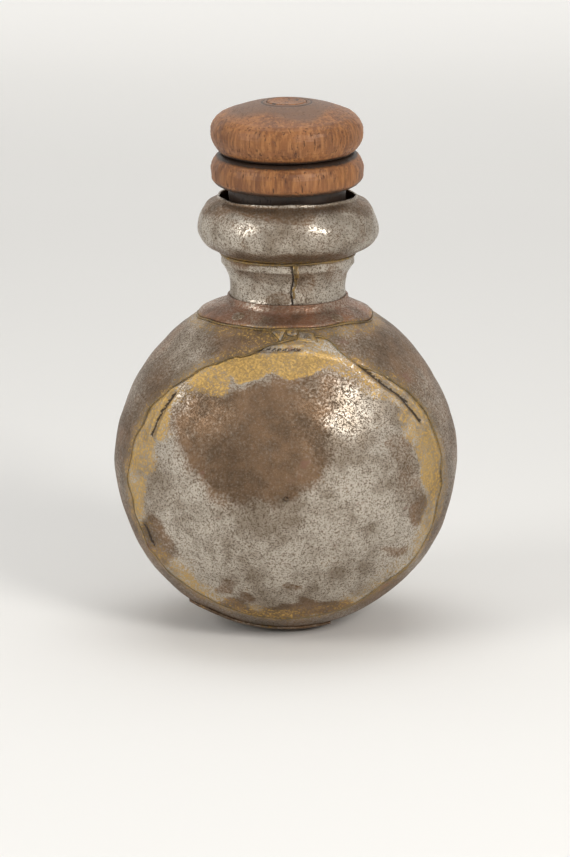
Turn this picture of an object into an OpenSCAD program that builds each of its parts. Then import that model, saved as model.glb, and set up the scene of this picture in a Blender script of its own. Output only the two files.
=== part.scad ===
// Pilgrim flask: a round, slightly flattened sheet-iron body brazed with brass,
// a short neck with a hollow swollen mouth, and a loose turned wooden stopper.
// The flask faces -Y and stands on the flattened underside of its base patch.

/* [Body] */
// Width of the body seen from the front
body_w = 130; // [124:0.5:136]
// Front to back across the two domes
body_depth = 111; // [107:0.5:115]
// Radius of the side band's curve from front to back
band_curve_r = 55; // [53:0.5:57]
// Distance from the body's edge to the seam at the sides
seam_in_side = 7.1; // [6.4:0.1:8]
// Distance from the body's edge to the seam at the top
seam_in_top = 15; // [13:0.1:16.5]
// Distance from the body's edge to the seam at the bottom
seam_in_bottom = 12; // [10.5:0.1:14]
// Thickness of the body's sheets
sheet_t = 1; // [0.8:0.1:1.3]
// Depth beaten flat at the lowest point
flat_cut = 1.6; // [1.2:0.1:2.4]

/* [Seams] */
// Gap left between brazed pieces
seam_gap = 0.05; // [0.04:0.01:0.1]
// How much tighter the seam curves at the sides than half its height
seam_tighten = 4; // [3:0.5:5]
// Height of the brass left standing along the dome seams
braze_t = 0.35; // [0.25:0.05:0.5]
// Width of the brass along the dome seams, seen from the front
braze_w = 2.8; // [2:0.1:4]
// Height of the cramped tabs above the band
tab_t = 0.6; // [0.4:0.05:0.8]
// Width of the brass round each cramped tab
tab_braze_w = 0.55; // [0.4:0.05:0.6]

/* [Base patch] */
// Thickness of the base patch
patch_t = 1; // [0.7:0.1:1.4]
// Reach of the base patch to the left of the middle
patch_left = 36; // [30:0.5:40]
// Reach of the base patch to the right of the middle
patch_right = 17.5; // [16:0.5:30]
// Front to back across the base patch
patch_depth = 41; // [34:0.5:46]
// Length cut off each corner of the base patch
patch_corner = 6; // [3:0.5:9]

/* [Shoulder collar] */
// Thickness of the collar's sheet
collar_t = 0.9; // [0.7:0.1:1.2]
// Half the collar's width at its lower edge
collar_half_w = 32.6; // [31.5:0.1:34]
// Height of the turned-up flange above the shoulder
flange_h = 2.6; // [2:0.1:3.4]
// Thickness of the turned-up flange round the neck
flange_t = 0.9; // [0.7:0.1:1.2]
// Radius of the hollow curve at the foot of the flange
flange_curve_r = 5; // [4:0.1:6]
// Height of the brass below the collar's edge
collar_braze_h = 0.9; // [0.6:0.1:1.2]

/* [Rivets] */
// Diameter of a rivet's head
rivet_head_d = 5; // [4:0.1:5.4]
// Height of a rivet's head
rivet_head_h = 0.6; // [0.4:0.05:0.9]
// Diameter of a rivet's shank
rivet_d = 2.6; // [2:0.1:3]
// Distance of each rivet from the neck's axis
rivet_ring_r = 27.6; // [27:0.1:28]
// Angle of the rivets from straight ahead and straight behind
rivet_angle = 41; // [36:1:50]

/* [Neck] */
// Distance that the neck stands to the right of the body's middle
neck_x = 0.7; // [0:0.1:1.5]
// Outer radius of the neck at its waist
waist_r = 21.5; // [20.5:0.1:22.5]
// Outer radius of the neck where it enters the mouth
neck_top_r = 24.8; // [24:0.1:25.4]
// Thickness of the neck's sheet
neck_t = 1; // [0.8:0.1:1.2]
// Height of the waist above the collar's flange
waist_up = 2.7; // [2:0.1:4]
// Height of the neck from its waist to the mouth's lower lip
neck_rise = 13.4; // [12:0.1:16]
// Radius of the neck's hollow side
neck_curve_r = 16; // [14.5:0.5:18]
// Length of the neck that reaches into the mouth
neck_lap = 0.9; // [0.7:0.1:1.4]
// Length of the neck that reaches below the body's shoulder
neck_foot = 2.6; // [2.2:0.1:4]
// Width of the neck's lap seam at its top
seam_top_w = 2.4; // [1.6:0.1:3]
// Width of the neck's lap seam at its foot
seam_foot_w = 0.9; // [0.6:0.1:1.4]
// Distance of the lap seam's top to the right of the neck's axis
seam_top_x = 3.2; // [2:0.1:5]
// Distance of the lap seam's foot to the right of the neck's axis
seam_foot_x = 1.9; // [0.5:0.1:3]

/* [Mouth] */
// Outer radius of the mouth at its widest
mouth_r = 34; // [33:0.1:36]
// Thickness of the mouth's sheet
mouth_t = 0.9; // [0.7:0.1:1.2]
// Height from the mouth's lower lip to its widest point
mouth_low_h = 9.8; // [9.2:0.1:11]
// Height from the mouth's widest point to its shoulder
mouth_high_h = 10.4; // [9.8:0.1:11]
// Radius of the mouth's section below its widest point
mouth_low_r = 8.2; // [7.4:0.1:8.8]
// Radius of the mouth's section above its widest point
mouth_high_r = 11.7; // [11.4:0.1:12.4]
// Outer radius of the rim's edge
rim_r = 26.3; // [25.8:0.1:27]
// Height of the rim above the mouth's shoulder
rim_h = 1.6; // [1.2:0.1:2.4]
// Height of the brass fillet under the mouth
mouth_braze_h = 1.7; // [1.2:0.1:2.4]

/* [Stopper] */
// Lean of the loose stopper towards the front
stopper_lean = 3.2; // [0:0.1:3.6]
// Lean of the loose stopper towards the left
stopper_tilt = 0.35; // [0:0.05:1]
// Diameter of the stopper's two beads
knob_d = 56.8; // [52:0.2:60]
// Height of the knob
knob_h = 31; // [29:0.1:34]
// Height of the knob's lower bead at its side, below its shoulder curve
low_bead_h = 5.2; // [4.6:0.1:6]
// Radius of the lower bead's shoulder
low_shoulder_r = 7; // [6.6:0.1:7.4]
// Radius of the lower bead's bottom edge
low_edge_r = 3.2; // [2:0.1:4]
// Height of the upper bead's widest point above the knob's underside
high_bead_up = 19.6; // [19:0.1:20.2]
// Radius of the upper bead's section below its widest point
high_low_r = 9.6; // [9.2:0.1:10]
// Radius of the upper bead's section above its widest point
high_shoulder_r = 7; // [5.5:0.1:7.6]
// Depth cut below the meeting line of the two beads
groove_cut = 1; // [0.5:0.1:2]
// Height of the knob's underside above the neck's waist
knob_up = 40.2; // [39:0.1:44]
// Radius of the peg under the knob
peg_top_r = 22.1; // [21.5:0.1:22.6]
// Space left round the peg at the neck's waist
peg_clear = 0.45; // [0.4:0.05:0.8]
// Length of the peg below the neck's waist
peg_below = 1.2; // [0.8:0.1:2]
// Radius of the tenon that runs up through the knob
tenon_r = 7.3; // [6:0.1:9]
// Space round the tenon
tenon_gap = 0.1; // [0.05:0.01:0.15]
// Depth of the tenon's end below the top of the knob
tenon_low = 0.5; // [0.3:0.1:1]

/* [Hidden] */
$fn = 144;
far = 200;
flange_dip = 0.3;

body_r = body_w / 2;
body_z = body_r - flat_cut + patch_t;
band_ring_r = body_r - band_curve_r;
dome_y = body_depth / 2;
band_core_r = body_r / 3;

// Where the seam crosses the band: its distance from the middle and its depth
function band_depth(r) = sqrt(pow(band_curve_r, 2) - pow(r - band_ring_r, 2));
seam_side_r = body_r - seam_in_side;
seam_top_z = body_r - seam_in_top;
seam_bottom_z = body_r - seam_in_bottom;
drop_side = dome_y - band_depth(seam_side_r);
drop_top = dome_y - band_depth(seam_top_z);
drop_bottom = dome_y - band_depth(seam_bottom_z);

// The dome is a little flatter up and down than across. Its side-to-side curve passes
// through the seam at the sides, and its upright curve through the top and the bottom.
dome_across_r = (pow(seam_side_r, 2) + pow(drop_side, 2)) / (2 * drop_side);
dome_a = drop_bottom - drop_top;
dome_b = drop_bottom * seam_top_z + drop_top * seam_bottom_z;
dome_c = drop_bottom * pow(seam_top_z, 2) - drop_top * pow(seam_bottom_z, 2)
    - drop_bottom * drop_top * dome_a;
dome_up = dome_c / (dome_b + sqrt(pow(dome_b, 2) - dome_a * dome_c));
dome_upright_r = (pow(seam_top_z - dome_up, 2) + pow(drop_top, 2)) / (2 * drop_top);

// The seam seen from the front is an oval of four arcs
oval_w = seam_side_r;
oval_h = (seam_top_z + seam_bottom_z) / 2;
oval_up = (seam_top_z - seam_bottom_z) / 2;
oval_side_r = oval_h - seam_tighten;
oval_long_r = (pow(oval_w - oval_side_r, 2) + pow(oval_h, 2) - pow(oval_side_r, 2))
    / (2 * (oval_h - oval_side_r));

// Heights above the middle of the body, in the flask's upright frame
function shoulder_z(r) = sqrt(pow(body_r, 2) - pow(r, 2));
flange_top_z = shoulder_z(waist_r + flange_t) + flange_h;
waist_z = flange_top_z + waist_up;
neck_side_r = waist_r + neck_curve_r;
neck_foot_r = neck_side_r - sqrt(pow(neck_curve_r, 2) - pow(waist_up, 2));
neck_seat_z = waist_z + sqrt(pow(neck_curve_r, 2) - pow(neck_side_r - neck_top_r, 2));
neck_foot_z = shoulder_z(waist_r) - neck_foot;
lip_z = waist_z + neck_rise;
lip_r = neck_top_r + seam_gap;
mouth_z = lip_z + mouth_low_h;
mouth_top_z = mouth_z + mouth_high_h;
rim_z = mouth_top_z + rim_h;
collar_edge_z = sqrt(pow(body_r + collar_t, 2) - pow(collar_half_w, 2));

// The tabs lie midway between the collar's brass and the seam's
function band_lean(z) = acos((z - band_ring_r) / band_curve_r);
tab_lean = (band_lean(collar_edge_z - collar_braze_h)
    + band_lean(seam_top_z + braze_w / 2)) / 2;
tab_mid = 1.35;

// Tangent from the mouth's lower lip to the round of its lower section
mouth_low_c = mouth_r - mouth_low_r;
lip_reach = norm([lip_r - mouth_low_c, mouth_low_h]);
lip_slope = atan2(mouth_low_h, mouth_low_c - lip_r) - asin(mouth_low_r / lip_reach);
mouth_high_c = mouth_r - mouth_high_r;

// Knob sizes, with heights above its underside
knob_r = knob_d / 2;
dome_rise = knob_h - high_bead_up;
dome_reach = knob_r - high_shoulder_r;
knob_dome_r = (pow(dome_reach, 2) + pow(dome_rise, 2) - pow(high_shoulder_r, 2))
    / (2 * (dome_rise - high_shoulder_r));
dome_turn = atan2(knob_dome_r - dome_rise, dome_reach);
dome_meet_r = dome_reach + high_shoulder_r * cos(dome_turn);
peg_waist_r = waist_r - neck_t - peg_clear;
peg_slope = (peg_top_r - peg_waist_r) / knob_up;

function hollow(r, reach) = sqrt(pow(r, 2) - pow(reach, 2));

// The groove's height is where the rounds of the two beads meet
bead_low_c = [knob_r - low_shoulder_r, low_bead_h];
bead_high_c = [knob_r - high_low_r, high_bead_up];
bead_span = norm(bead_high_c - bead_low_c);
bead_along = (pow(bead_span, 2) + pow(low_shoulder_r, 2) - pow(high_low_r, 2))
    / (2 * bead_span);
bead_dir = (bead_high_c - bead_low_c) / bead_span;
groove_at = bead_low_c + bead_along * bead_dir
    + hollow(low_shoulder_r, bead_along) * [bead_dir[1], -bead_dir[0]];

iron_dark = [0.40, 0.36, 0.33];
iron_pale = [0.58, 0.56, 0.52];
brass_old = [0.66, 0.52, 0.26];
wood_warm = [0.62, 0.40, 0.22];

module at_body() {
    translate([0, 0, body_z]) children();
}

module at_neck() {
    translate([neck_x, 0, body_z]) children();
}

module at_stopper() {
    at_neck() translate([0, 0, waist_z]) rotate([stopper_lean, -stopper_tilt, 0])
        children();
}

// Everything inside the curve of the side band, set in by a depth. It runs straight
// out through the middle, so that only the domes shape the front and the back.
module band_form(depth) {
    rotate([90, 0, 0]) rotate_extrude() {
        intersection() {
            translate([band_ring_r, 0]) circle(r = band_curve_r - depth);
            translate([0, -far]) square([far, 2 * far]);
        }
        translate([0, -far]) square([band_core_r, 2 * far]);
    }
}

// Everything behind the front dome's curve, set in by a depth
module front_form(depth) {
    translate([0, dome_upright_r - dome_y, dome_up])
        rotate([0, 90, 0]) rotate_extrude()
            intersection() {
                translate([dome_upright_r - dome_across_r, 0])
                    circle(r = dome_across_r - depth);
                translate([0, -far]) square([far, 2 * far]);
            }
}

module back_form(depth) {
    mirror([0, 1, 0]) front_form(depth);
}

// Everything that the seam's oval encloses in front of the middle, grown by a width
module front_oval(grow) {
    side_x = oval_w - oval_side_r;
    long_z = oval_long_r - oval_h;
    meet_x = side_x + (oval_side_r + grow) * side_x / norm([side_x, long_z]);
    translate([0, 0, oval_up]) rotate([90, 0, 0]) linear_extrude(height = far) {
        intersection() {
            translate([0, long_z]) circle(r = oval_long_r + grow);
            translate([0, -long_z]) circle(r = oval_long_r + grow);
            square([2 * meet_x, far], center = true);
        }
        translate([side_x, 0]) circle(r = oval_side_r + grow);
        translate([-side_x, 0]) circle(r = oval_side_r + grow);
    }
}

module above(z) {
    translate([-far, -far, z]) cube([2 * far, 2 * far, 2 * far]);
}

// The whole body's outside, set in by a depth and beaten flat below
module body_form(depth) {
    intersection() {
        band_form(depth);
        front_form(depth);
        back_form(depth);
        above(flat_cut - body_r + depth);
    }
}

// A place on the side band, found from its distances to the right and to the front
module on_band(x, y) {
    lean = asin(y / band_curve_r);
    turn = asin(x / (band_ring_r + band_curve_r * cos(lean)));
    rotate([0, turn, 0]) translate([0, 0, band_ring_r]) rotate([-lean, 0, 0])
        translate([0, 0, band_curve_r]) children();
}

module rivet_places() {
    for (side = [-1, 1])
        for (face = [-1, 1])
            on_band(neck_x + side * rivet_ring_r * sin(rivet_angle),
                face * rivet_ring_r * cos(rivet_angle)) children();
}

module rivet(gap) {
    head_curve_r = (pow(rivet_head_d / 2, 2) + pow(rivet_head_h, 2)) / (2 * rivet_head_h);
    grip = collar_t + sheet_t;
    translate([0, 0, collar_t]) intersection() {
        translate([0, 0, rivet_head_h - head_curve_r]) sphere(r = head_curve_r + gap);
        cylinder(r = rivet_head_d / 2 + gap, h = rivet_head_d);
    }
    translate([0, 0, -sheet_t - rivet_head_h])
        cylinder(r = rivet_d / 2 + gap, h = grip + rivet_head_h + seam_gap);
    translate([0, 0, -sheet_t - seam_gap - rivet_head_h])
        cylinder(r = rivet_head_d / 2 - rivet_head_h + gap, h = rivet_head_h);
}

module neck_outside(gap) {
    translate([0, 0, neck_foot_z - sheet_t])
        cylinder(r = neck_foot_r + gap, h = flange_top_z - neck_foot_z + sheet_t);
    rotate_extrude() difference() {
        translate([0, flange_top_z])
            square([neck_top_r + gap, lip_z + neck_lap - flange_top_z]);
        intersection() {
            translate([neck_side_r, waist_z]) circle(r = neck_curve_r - gap);
            translate([0, waist_z - far]) square([far, far + neck_seat_z - waist_z]);
        }
    }
}

module neck_inside() {
    translate([0, 0, neck_foot_z - far])
        cylinder(r = neck_foot_r - neck_t, h = far + flange_top_z - neck_foot_z);
    rotate_extrude() difference() {
        translate([0, flange_top_z - seam_gap]) square([neck_top_r - neck_t, far]);
        intersection() {
            translate([neck_side_r, waist_z]) circle(r = neck_curve_r + neck_t);
            translate([0, waist_z - far]) square([far, far + neck_seat_z - waist_z]);
        }
    }
}

// The wedge between the two edges of the rolled neck sheet
module neck_wedge(gap) {
    top_z = lip_z + neck_lap;
    rotate([90, 0, 0]) linear_extrude(height = far)
        polygon([
            [seam_foot_x - seam_foot_w / 2 - gap, neck_foot_z - 1],
            [seam_foot_x + seam_foot_w / 2 + gap, neck_foot_z - 1],
            [seam_top_x + seam_top_w / 2 + gap, top_z + 1],
            [seam_top_x - seam_top_w / 2 - gap, top_z + 1]
        ]);
}

// Half-section of the mouth, set in by a depth, as a solid from the axis outwards
module mouth_section(depth) {
    low_r = mouth_low_r - depth;
    lip = [lip_r - depth * sin(lip_slope), lip_z + depth * cos(lip_slope)];
    low_meet = [mouth_low_c + low_r * sin(lip_slope), mouth_z - low_r * cos(lip_slope)];
    polygon([[0, lip[1]], lip, low_meet, [mouth_low_c, mouth_z], [0, mouth_z]]);
    intersection() {
        translate([mouth_low_c, mouth_z]) circle(r = low_r);
        polygon([[mouth_low_c, mouth_z], low_meet, [far, low_meet[1]], [far, mouth_z]]);
    }
    intersection() {
        union() {
            translate([mouth_high_c, mouth_z]) circle(r = mouth_high_r - depth);
            square([mouth_high_c, mouth_z + mouth_high_r - depth]);
        }
        translate([0, mouth_z]) square([far, mouth_high_h]);
    }
}

// The outlines of the cramped tabs, drawn flat: X to the right, Y up towards the collar
module tab_outlines() {
    translate([0, -tab_mid]) {
        polygon([[-6, 4.2], [-0.9, 4.2], [-2.6, -0.9]]);
        translate([1.6, 2.9]) intersection() {
            circle(r = 1.9);
            square([far, 2.6], center = true);
        }
        polygon([[4.2, 3.4], [9.3, 3.4], [10.8, -0.8], [3.4, -0.8]]);
    }
}

module tab_place() {
    on_band(neck_x, -band_curve_r * sin(tab_lean))
        linear_extrude(height = far, center = true) children();
}

module side_band() {
    color(iron_dark) at_body() difference() {
        intersection() {
            band_form(0);
            above(flat_cut - body_r);
        }
        intersection() {
            band_form(sheet_t);
            above(flat_cut - body_r + sheet_t);
        }
        front_oval(seam_gap);
        mirror([0, 1, 0]) front_oval(seam_gap);
        translate([neck_x, 0, 0]) cylinder(r = neck_foot_r + seam_gap, h = far);
        rivet_places() rivet(seam_gap);
    }
}

module front_dome() {
    color(iron_pale) at_body() intersection() {
        difference() {
            front_form(0);
            front_form(sheet_t);
        }
        front_oval(0);
    }
}

module back_dome() {
    mirror([0, 1, 0]) front_dome();
}

module front_braze() {
    color(brass_old) at_body() difference() {
        intersection() {
            band_form(-braze_t);
            front_form(-braze_t);
            front_oval(braze_w / 2);
        }
        intersection() {
            band_form(-seam_gap);
            front_form(-seam_gap);
        }
        front_oval(-braze_w / 2);
    }
}

module back_braze() {
    mirror([0, 1, 0]) front_braze();
}

module cramp_tabs() {
    color(iron_dark) at_body() intersection() {
        difference() {
            band_form(-tab_t);
            band_form(-seam_gap);
        }
        tab_place() tab_outlines();
    }
}

module tab_braze() {
    color(brass_old) at_body() intersection() {
        difference() {
            band_form(-tab_t / 2);
            band_form(-seam_gap);
        }
        tab_place() difference() {
            offset(delta = tab_braze_w) tab_outlines();
            offset(delta = seam_gap) tab_outlines();
        }
    }
}

module base_patch() {
    half = patch_depth / 2;
    cut = patch_corner;
    color(iron_dark) at_body() intersection() {
        difference() {
            body_form(-patch_t);
            body_form(-seam_gap);
        }
        translate([0, 0, -2 * body_r]) linear_extrude(height = 2 * body_r)
            polygon([
                [-patch_left, cut - half], [cut - patch_left, -half],
                [patch_right - cut, -half], [patch_right, cut - half],
                [patch_right, half - cut], [patch_right - cut, half],
                [cut - patch_left, half], [-patch_left, half - cut]
            ]);
    }
}

// The flange's section: a hollow curve from the neck down into the collar's sheet. It
// dips a little way into the sheet at the front and the back, and more at the sides.
module flange_section() {
    inner = neck_foot_r + seam_gap;
    curve_c = inner + flange_t + flange_curve_r;
    sheet_r = band_curve_r + collar_t;
    curve_z = band_ring_r + hollow(sheet_r + flange_curve_r, curve_c) - flange_dip;
    foot_r = curve_c * sheet_r / (sheet_r + flange_curve_r);
    low = shoulder_z(foot_r) - 2 * flange_curve_r;
    difference() {
        translate([inner, low]) square([foot_r - inner, flange_top_z - low]);
        translate([curve_c, curve_z]) circle(r = flange_curve_r);
    }
}

module shoulder_collar() {
    color(iron_dark) at_body() difference() {
        union() {
            intersection() {
                band_form(-collar_t);
                above(collar_edge_z);
            }
            translate([neck_x, 0, 0]) rotate_extrude() flange_section();
        }
        band_form(-seam_gap);
        translate([neck_x, 0, 0]) cylinder(r = neck_foot_r + seam_gap, h = far);
        rivet_places() rivet(seam_gap);
    }
}

module collar_rivets() {
    color(iron_dark) at_body() rivet_places() rivet(0);
}

module collar_braze() {
    color(brass_old) at_body() difference() {
        intersection() {
            band_form(-collar_t / 2);
            above(collar_edge_z - collar_braze_h);
        }
        band_form(-seam_gap);
        above(collar_edge_z - seam_gap);
    }
}

module neck_tube() {
    color(iron_pale) at_neck() difference() {
        neck_outside(0);
        translate([0, 0, neck_foot_z - 2 * far]) cylinder(r = far, h = 2 * far);
        neck_inside();
        neck_wedge(0);
    }
}

module neck_seam_braze() {
    color(brass_old) at_neck() intersection() {
        difference() {
            neck_outside(-seam_gap);
            neck_inside();
        }
        neck_wedge(-seam_gap);
        above(flange_top_z + seam_gap);
    }
}

module mouth_bulb() {
    edge = [rim_r - mouth_t, rim_z];
    shoulder_r = mouth_high_c + hollow(mouth_high_r, mouth_high_h);
    color(iron_pale) at_neck() rotate_extrude() difference() {
        union() {
            mouth_section(0);
            polygon([[0, mouth_top_z - mouth_t], [shoulder_r, mouth_top_z - mouth_t],
                [shoulder_r, mouth_top_z], [rim_r, rim_z], [0, rim_z]]);
        }
        mouth_section(mouth_t);
        square([lip_r, mouth_z]);
        translate([0, mouth_z]) square([edge[0], far]);
    }
}

module mouth_braze() {
    foot = lip_z - mouth_braze_h;
    reach = mouth_braze_h * 0.85;
    under = lip_z + reach * tan(lip_slope) - seam_gap / cos(lip_slope);
    color(brass_old) at_neck() rotate_extrude()
        polygon([[lip_r, foot], [lip_r + reach, under], [lip_r, lip_z - seam_gap]]);
}

module knob_section() {
    intersection() {
        translate([0, knob_h - knob_dome_r]) circle(r = knob_dome_r);
        translate([0, high_bead_up]) square([dome_meet_r, far]);
    }
    intersection() {
        translate([dome_reach, high_bead_up]) circle(r = high_shoulder_r);
        translate([0, high_bead_up]) square([far, far]);
    }
    intersection() {
        translate(bead_high_c) circle(r = high_low_r);
        translate([0, groove_at[1]]) square([far, high_bead_up - groove_at[1]]);
    }
    intersection() {
        translate(bead_low_c) circle(r = low_shoulder_r);
        translate([0, low_bead_h]) square([far, groove_at[1] - low_bead_h]);
    }
    translate([0, low_edge_r]) square([knob_r, low_bead_h - low_edge_r]);
    square([knob_r - low_edge_r, high_bead_up]);
    translate([knob_r - low_edge_r, low_edge_r]) circle(r = low_edge_r);
}

module stopper_knob() {
    tip = groove_at[0] - groove_cut;
    color(wood_warm) at_stopper() translate([0, 0, knob_up]) rotate_extrude()
        intersection() {
            difference() {
                knob_section();
                polygon([[tip, groove_at[1]], [far, groove_at[1] + (far - tip) / 3],
                    [far, groove_at[1] - (far - tip) / 3]]);
                translate([-far, -far / 2]) square([far + tenon_r + tenon_gap, far]);
            }
            square([far, far]);
        }
}

module stopper_peg() {
    end_r = peg_waist_r - peg_below * peg_slope;
    edge = 0.6;
    color(wood_warm) at_stopper() rotate_extrude()
        polygon([
            [0, -peg_below], [end_r - edge, -peg_below], [end_r, edge - peg_below],
            [peg_top_r, knob_up - seam_gap], [tenon_r, knob_up - seam_gap],
            [tenon_r, knob_up + knob_h - tenon_low], [0, knob_up + knob_h - tenon_low]
        ]);
}

side_band();
front_dome();
back_dome();
front_braze();
back_braze();
cramp_tabs();
tab_braze();
base_patch();
shoulder_collar();
collar_rivets();
collar_braze();
neck_tube();
neck_seam_braze();
mouth_bulb();
mouth_braze();
stopper_knob();
stopper_peg();
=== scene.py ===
import math
import bmesh
import bpy
import numpy as np
from mathutils import Matrix, Vector


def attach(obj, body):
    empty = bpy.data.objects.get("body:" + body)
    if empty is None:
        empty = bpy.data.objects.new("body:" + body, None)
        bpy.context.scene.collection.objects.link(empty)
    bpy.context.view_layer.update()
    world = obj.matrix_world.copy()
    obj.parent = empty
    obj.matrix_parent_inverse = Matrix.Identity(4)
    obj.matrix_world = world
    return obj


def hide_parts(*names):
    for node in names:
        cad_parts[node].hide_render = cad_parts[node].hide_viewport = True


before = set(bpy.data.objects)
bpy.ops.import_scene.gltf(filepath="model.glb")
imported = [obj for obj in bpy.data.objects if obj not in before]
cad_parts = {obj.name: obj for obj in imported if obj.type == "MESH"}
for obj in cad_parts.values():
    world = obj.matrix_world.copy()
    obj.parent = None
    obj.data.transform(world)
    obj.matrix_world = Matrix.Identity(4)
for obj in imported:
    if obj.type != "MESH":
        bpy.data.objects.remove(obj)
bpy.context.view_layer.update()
scene = bpy.context.scene
toMetres = 0.001

# Lengths are in mm here, measured from the middle of the body, and made metres when a mesh is made.
flask = {
    "middleUp": 64.4,
    "ringR": 10.0,
    "curveR": 55.0,
    "sheet": 1.0,
    "flatZ": -63.4,
    "domeAcrossR": 73.11,
    "domeUprightR": 78.0,
    "domeAxis": 22.5,
    "domeUp": 0.47,
    "ovalUp": -1.5,
    "ovalSideX": 10.4,
    "ovalSideR": 47.5,
    "ovalLongZ": 11.52,
    "ovalLongR": 63.02,
    "neckX": 0.7,
    "halfSizes": (65.0, 55.5, 65.0),
}

# The camera's place in metres, its pitch in degrees, its lens and sensor in mm. Front patches and slits are
# placed by steps in its picture, across and down from the top left.
view = {"place": (-0.00034, -1.1618, 0.3649), "pitch": 13.98, "lens": 132.2, "sensor": 36.0,
        "stepsAhead": 3147.7, "middle": (285, 428.5)}


def fullTurn(count):
    return np.linspace(0, 2 * math.pi, count, endpoint=False)


def inMetres(points):
    return (points + np.array([0, 0, flask["middleUp"]])) * toMetres


def newObject(name, data):
    made = bpy.data.objects.new(name, data)
    scene.collection.objects.link(made)
    return made


def waves(points, size, seed, count=16):
    rng = np.random.default_rng(seed)
    total = np.zeros(points.shape[:-1])
    for _ in range(count):
        direction = rng.normal(size=3)
        direction *= 2 * math.pi / (size * rng.uniform(0.7, 1.7) * np.linalg.norm(direction))
        total += np.sin(points @ direction + rng.uniform(0, 2 * math.pi))
    return total / math.sqrt(count / 2)


def smooth(value, low, high):
    t = np.clip((value - low) / (high - low), 0, 1)
    return t * t * (3 - 2 * t)


def ovalDistance(x, z):
    ax, az = np.abs(x), np.abs(z - flask["ovalUp"])
    toSide = flask["ovalSideX"] * (az + flask["ovalLongZ"]) < flask["ovalLongZ"] * ax
    side = np.hypot(ax - flask["ovalSideX"], az) - flask["ovalSideR"]
    long = np.hypot(ax, az + flask["ovalLongZ"]) - flask["ovalLongR"]
    return np.where(toSide, side, long)


def ovalReach(turn, offset, centreZ):
    low, high = np.full_like(turn, 20.0), np.full_like(turn, 64.0)
    for _ in range(40):
        middle = (low + high) / 2
        inside = ovalDistance(middle * np.sin(turn), centreZ + middle * np.cos(turn)) < offset
        low, high = np.where(inside, middle, low), np.where(inside, high, middle)
    return low


def domeDepth(x, z):
    rho = flask["domeUprightR"] - flask["domeAcrossR"] + np.sqrt(flask["domeAcrossR"] ** 2 - x ** 2)
    return np.sqrt(rho ** 2 - (z - flask["domeUp"]) ** 2) - flask["domeAxis"]


def bandDepth(x, z):
    out = np.clip(np.hypot(x, z) - flask["ringR"], 0, flask["curveR"] - 0.01)
    return np.sqrt(flask["curveR"] ** 2 - out ** 2)


def bandHeight(x, y, grow):
    rim = flask["ringR"] + np.sqrt((flask["curveR"] + grow) ** 2 - y ** 2)
    return np.sqrt(rim ** 2 - x ** 2)


def bandPoint(turn, lean, grow=0.0):
    r = flask["ringR"] + (flask["curveR"] + grow) * np.cos(lean)
    y = -(flask["curveR"] + grow) * np.sin(lean)
    return np.stack([r * np.sin(turn), y + 0 * turn, r * np.cos(turn)], -1)


# The hammered sheet: soft planishing, and the dents that show. Right, front (negative), up, spread, depth.
dents = [
    (-38, -42, -22, 9, -1.1), (-46, -34, -30, 6, 0.8), (26, -52, 10, 10, -0.7), (8, -54, 6, 15, 0.7),
    (-18, -53, -8, 10, -0.5), (34, -46, -26, 9, -0.8), (-4, -52, -28, 9, 0.5), (44, -32, 22, 7, 0.8),
    (50, 6, 30, 8, -1.0), (-52, 4, 26, 9, -0.8), (-58, -8, -14, 8, -0.9), (57, 10, -12, 9, 0.6),
    (20, 50, 18, 11, -1.1), (-24, 50, -6, 12, -0.9), (6, 52, -26, 10, 0.6), (-34, 42, 26, 8, 0.8),
    (-50, -28, 12, 5, -0.6), (52, -26, -6, 6, -0.7), (10, -40, 44, 7, 0.5), (-16, -42, 43, 6, -0.5),
]


def inPhoto(points):
    # Where a point shows in the front view, as steps across and down
    pitch = math.radians(view["pitch"])
    eye = np.array(view["place"]) / toMetres - np.array([0, 0, flask["middleUp"]])
    rel = points - eye
    ahead = rel[..., 1] * math.cos(pitch) - rel[..., 2] * math.sin(pitch)
    rise = rel[..., 1] * math.sin(pitch) + rel[..., 2] * math.cos(pitch)
    across, down = view["middle"]
    return across + view["stepsAhead"] * rel[..., 0] / ahead, down - view["stepsAhead"] * rise / ahead


# Slits where the dome's sheet has parted from the brass, pressed as grooves along lines in the front view
slits = {
    "lines": [
        [(349, 357), (380, 382), (400, 396), (410, 408), (420, 421)],
        [(175, 393), (160, 415), (152, 435)],
        [(145, 523), (155, 546)],
        [(240, 356), (262, 350), (300, 350)]],
    "deep": 0.75,
    "halfWide": 1.5,
    "lipHigh": 0.4,
    "lipAway": 4,
    "lipWide": 2.2,
}


def slitGap(points):
    across, down = inPhoto(points)
    nearest = np.full(across.shape, 99.0)
    for line in slits["lines"]:
        for first, second in zip(line, line[1:]):
            dx, dy = second[0] - first[0], second[1] - first[1]
            share = np.clip(((across - first[0]) * dx + (down - first[1]) * dy) / (dx * dx + dy * dy), 0, 1)
            gap = np.hypot(across - first[0] - share * dx, down - first[1] - share * dy)
            nearest = np.minimum(nearest, gap)
    return nearest + 60 * smooth(points[..., 1], -14, -8)


def hammered(points):
    away = 0.18 * waves(points, 30, 11) + 0.06 * waves(points, 12, 12) + 0.02 * waves(points, 5, 13)
    for right, front, up, spread, depth in dents:
        gap = np.sum((points - np.array([right, front, up])) ** 2, -1)
        away = away + 0.8 * depth * np.exp(-gap / (2 * spread ** 2))
    gap = slitGap(points)
    away = away - slits["deep"] * np.exp(-(gap / slits["halfWide"]) ** 2)
    away = away + slits["lipHigh"] * np.exp(-((gap - slits["lipAway"]) / slits["lipWide"]) ** 2)
    steady = smooth(points[..., 2], -61, -50)  # what stands on the floor stays flat
    return away * steady


def outward(points):
    out = points / np.array(flask["halfSizes"]) ** 2
    return out / np.linalg.norm(out, axis=-1, keepdims=True)


def beaten(points):
    near = 1 - smooth(points[..., 2], 58, 61)  # the neck's foot keeps its place
    return points + outward(points) * (hammered(points) * near)[..., None]


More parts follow.
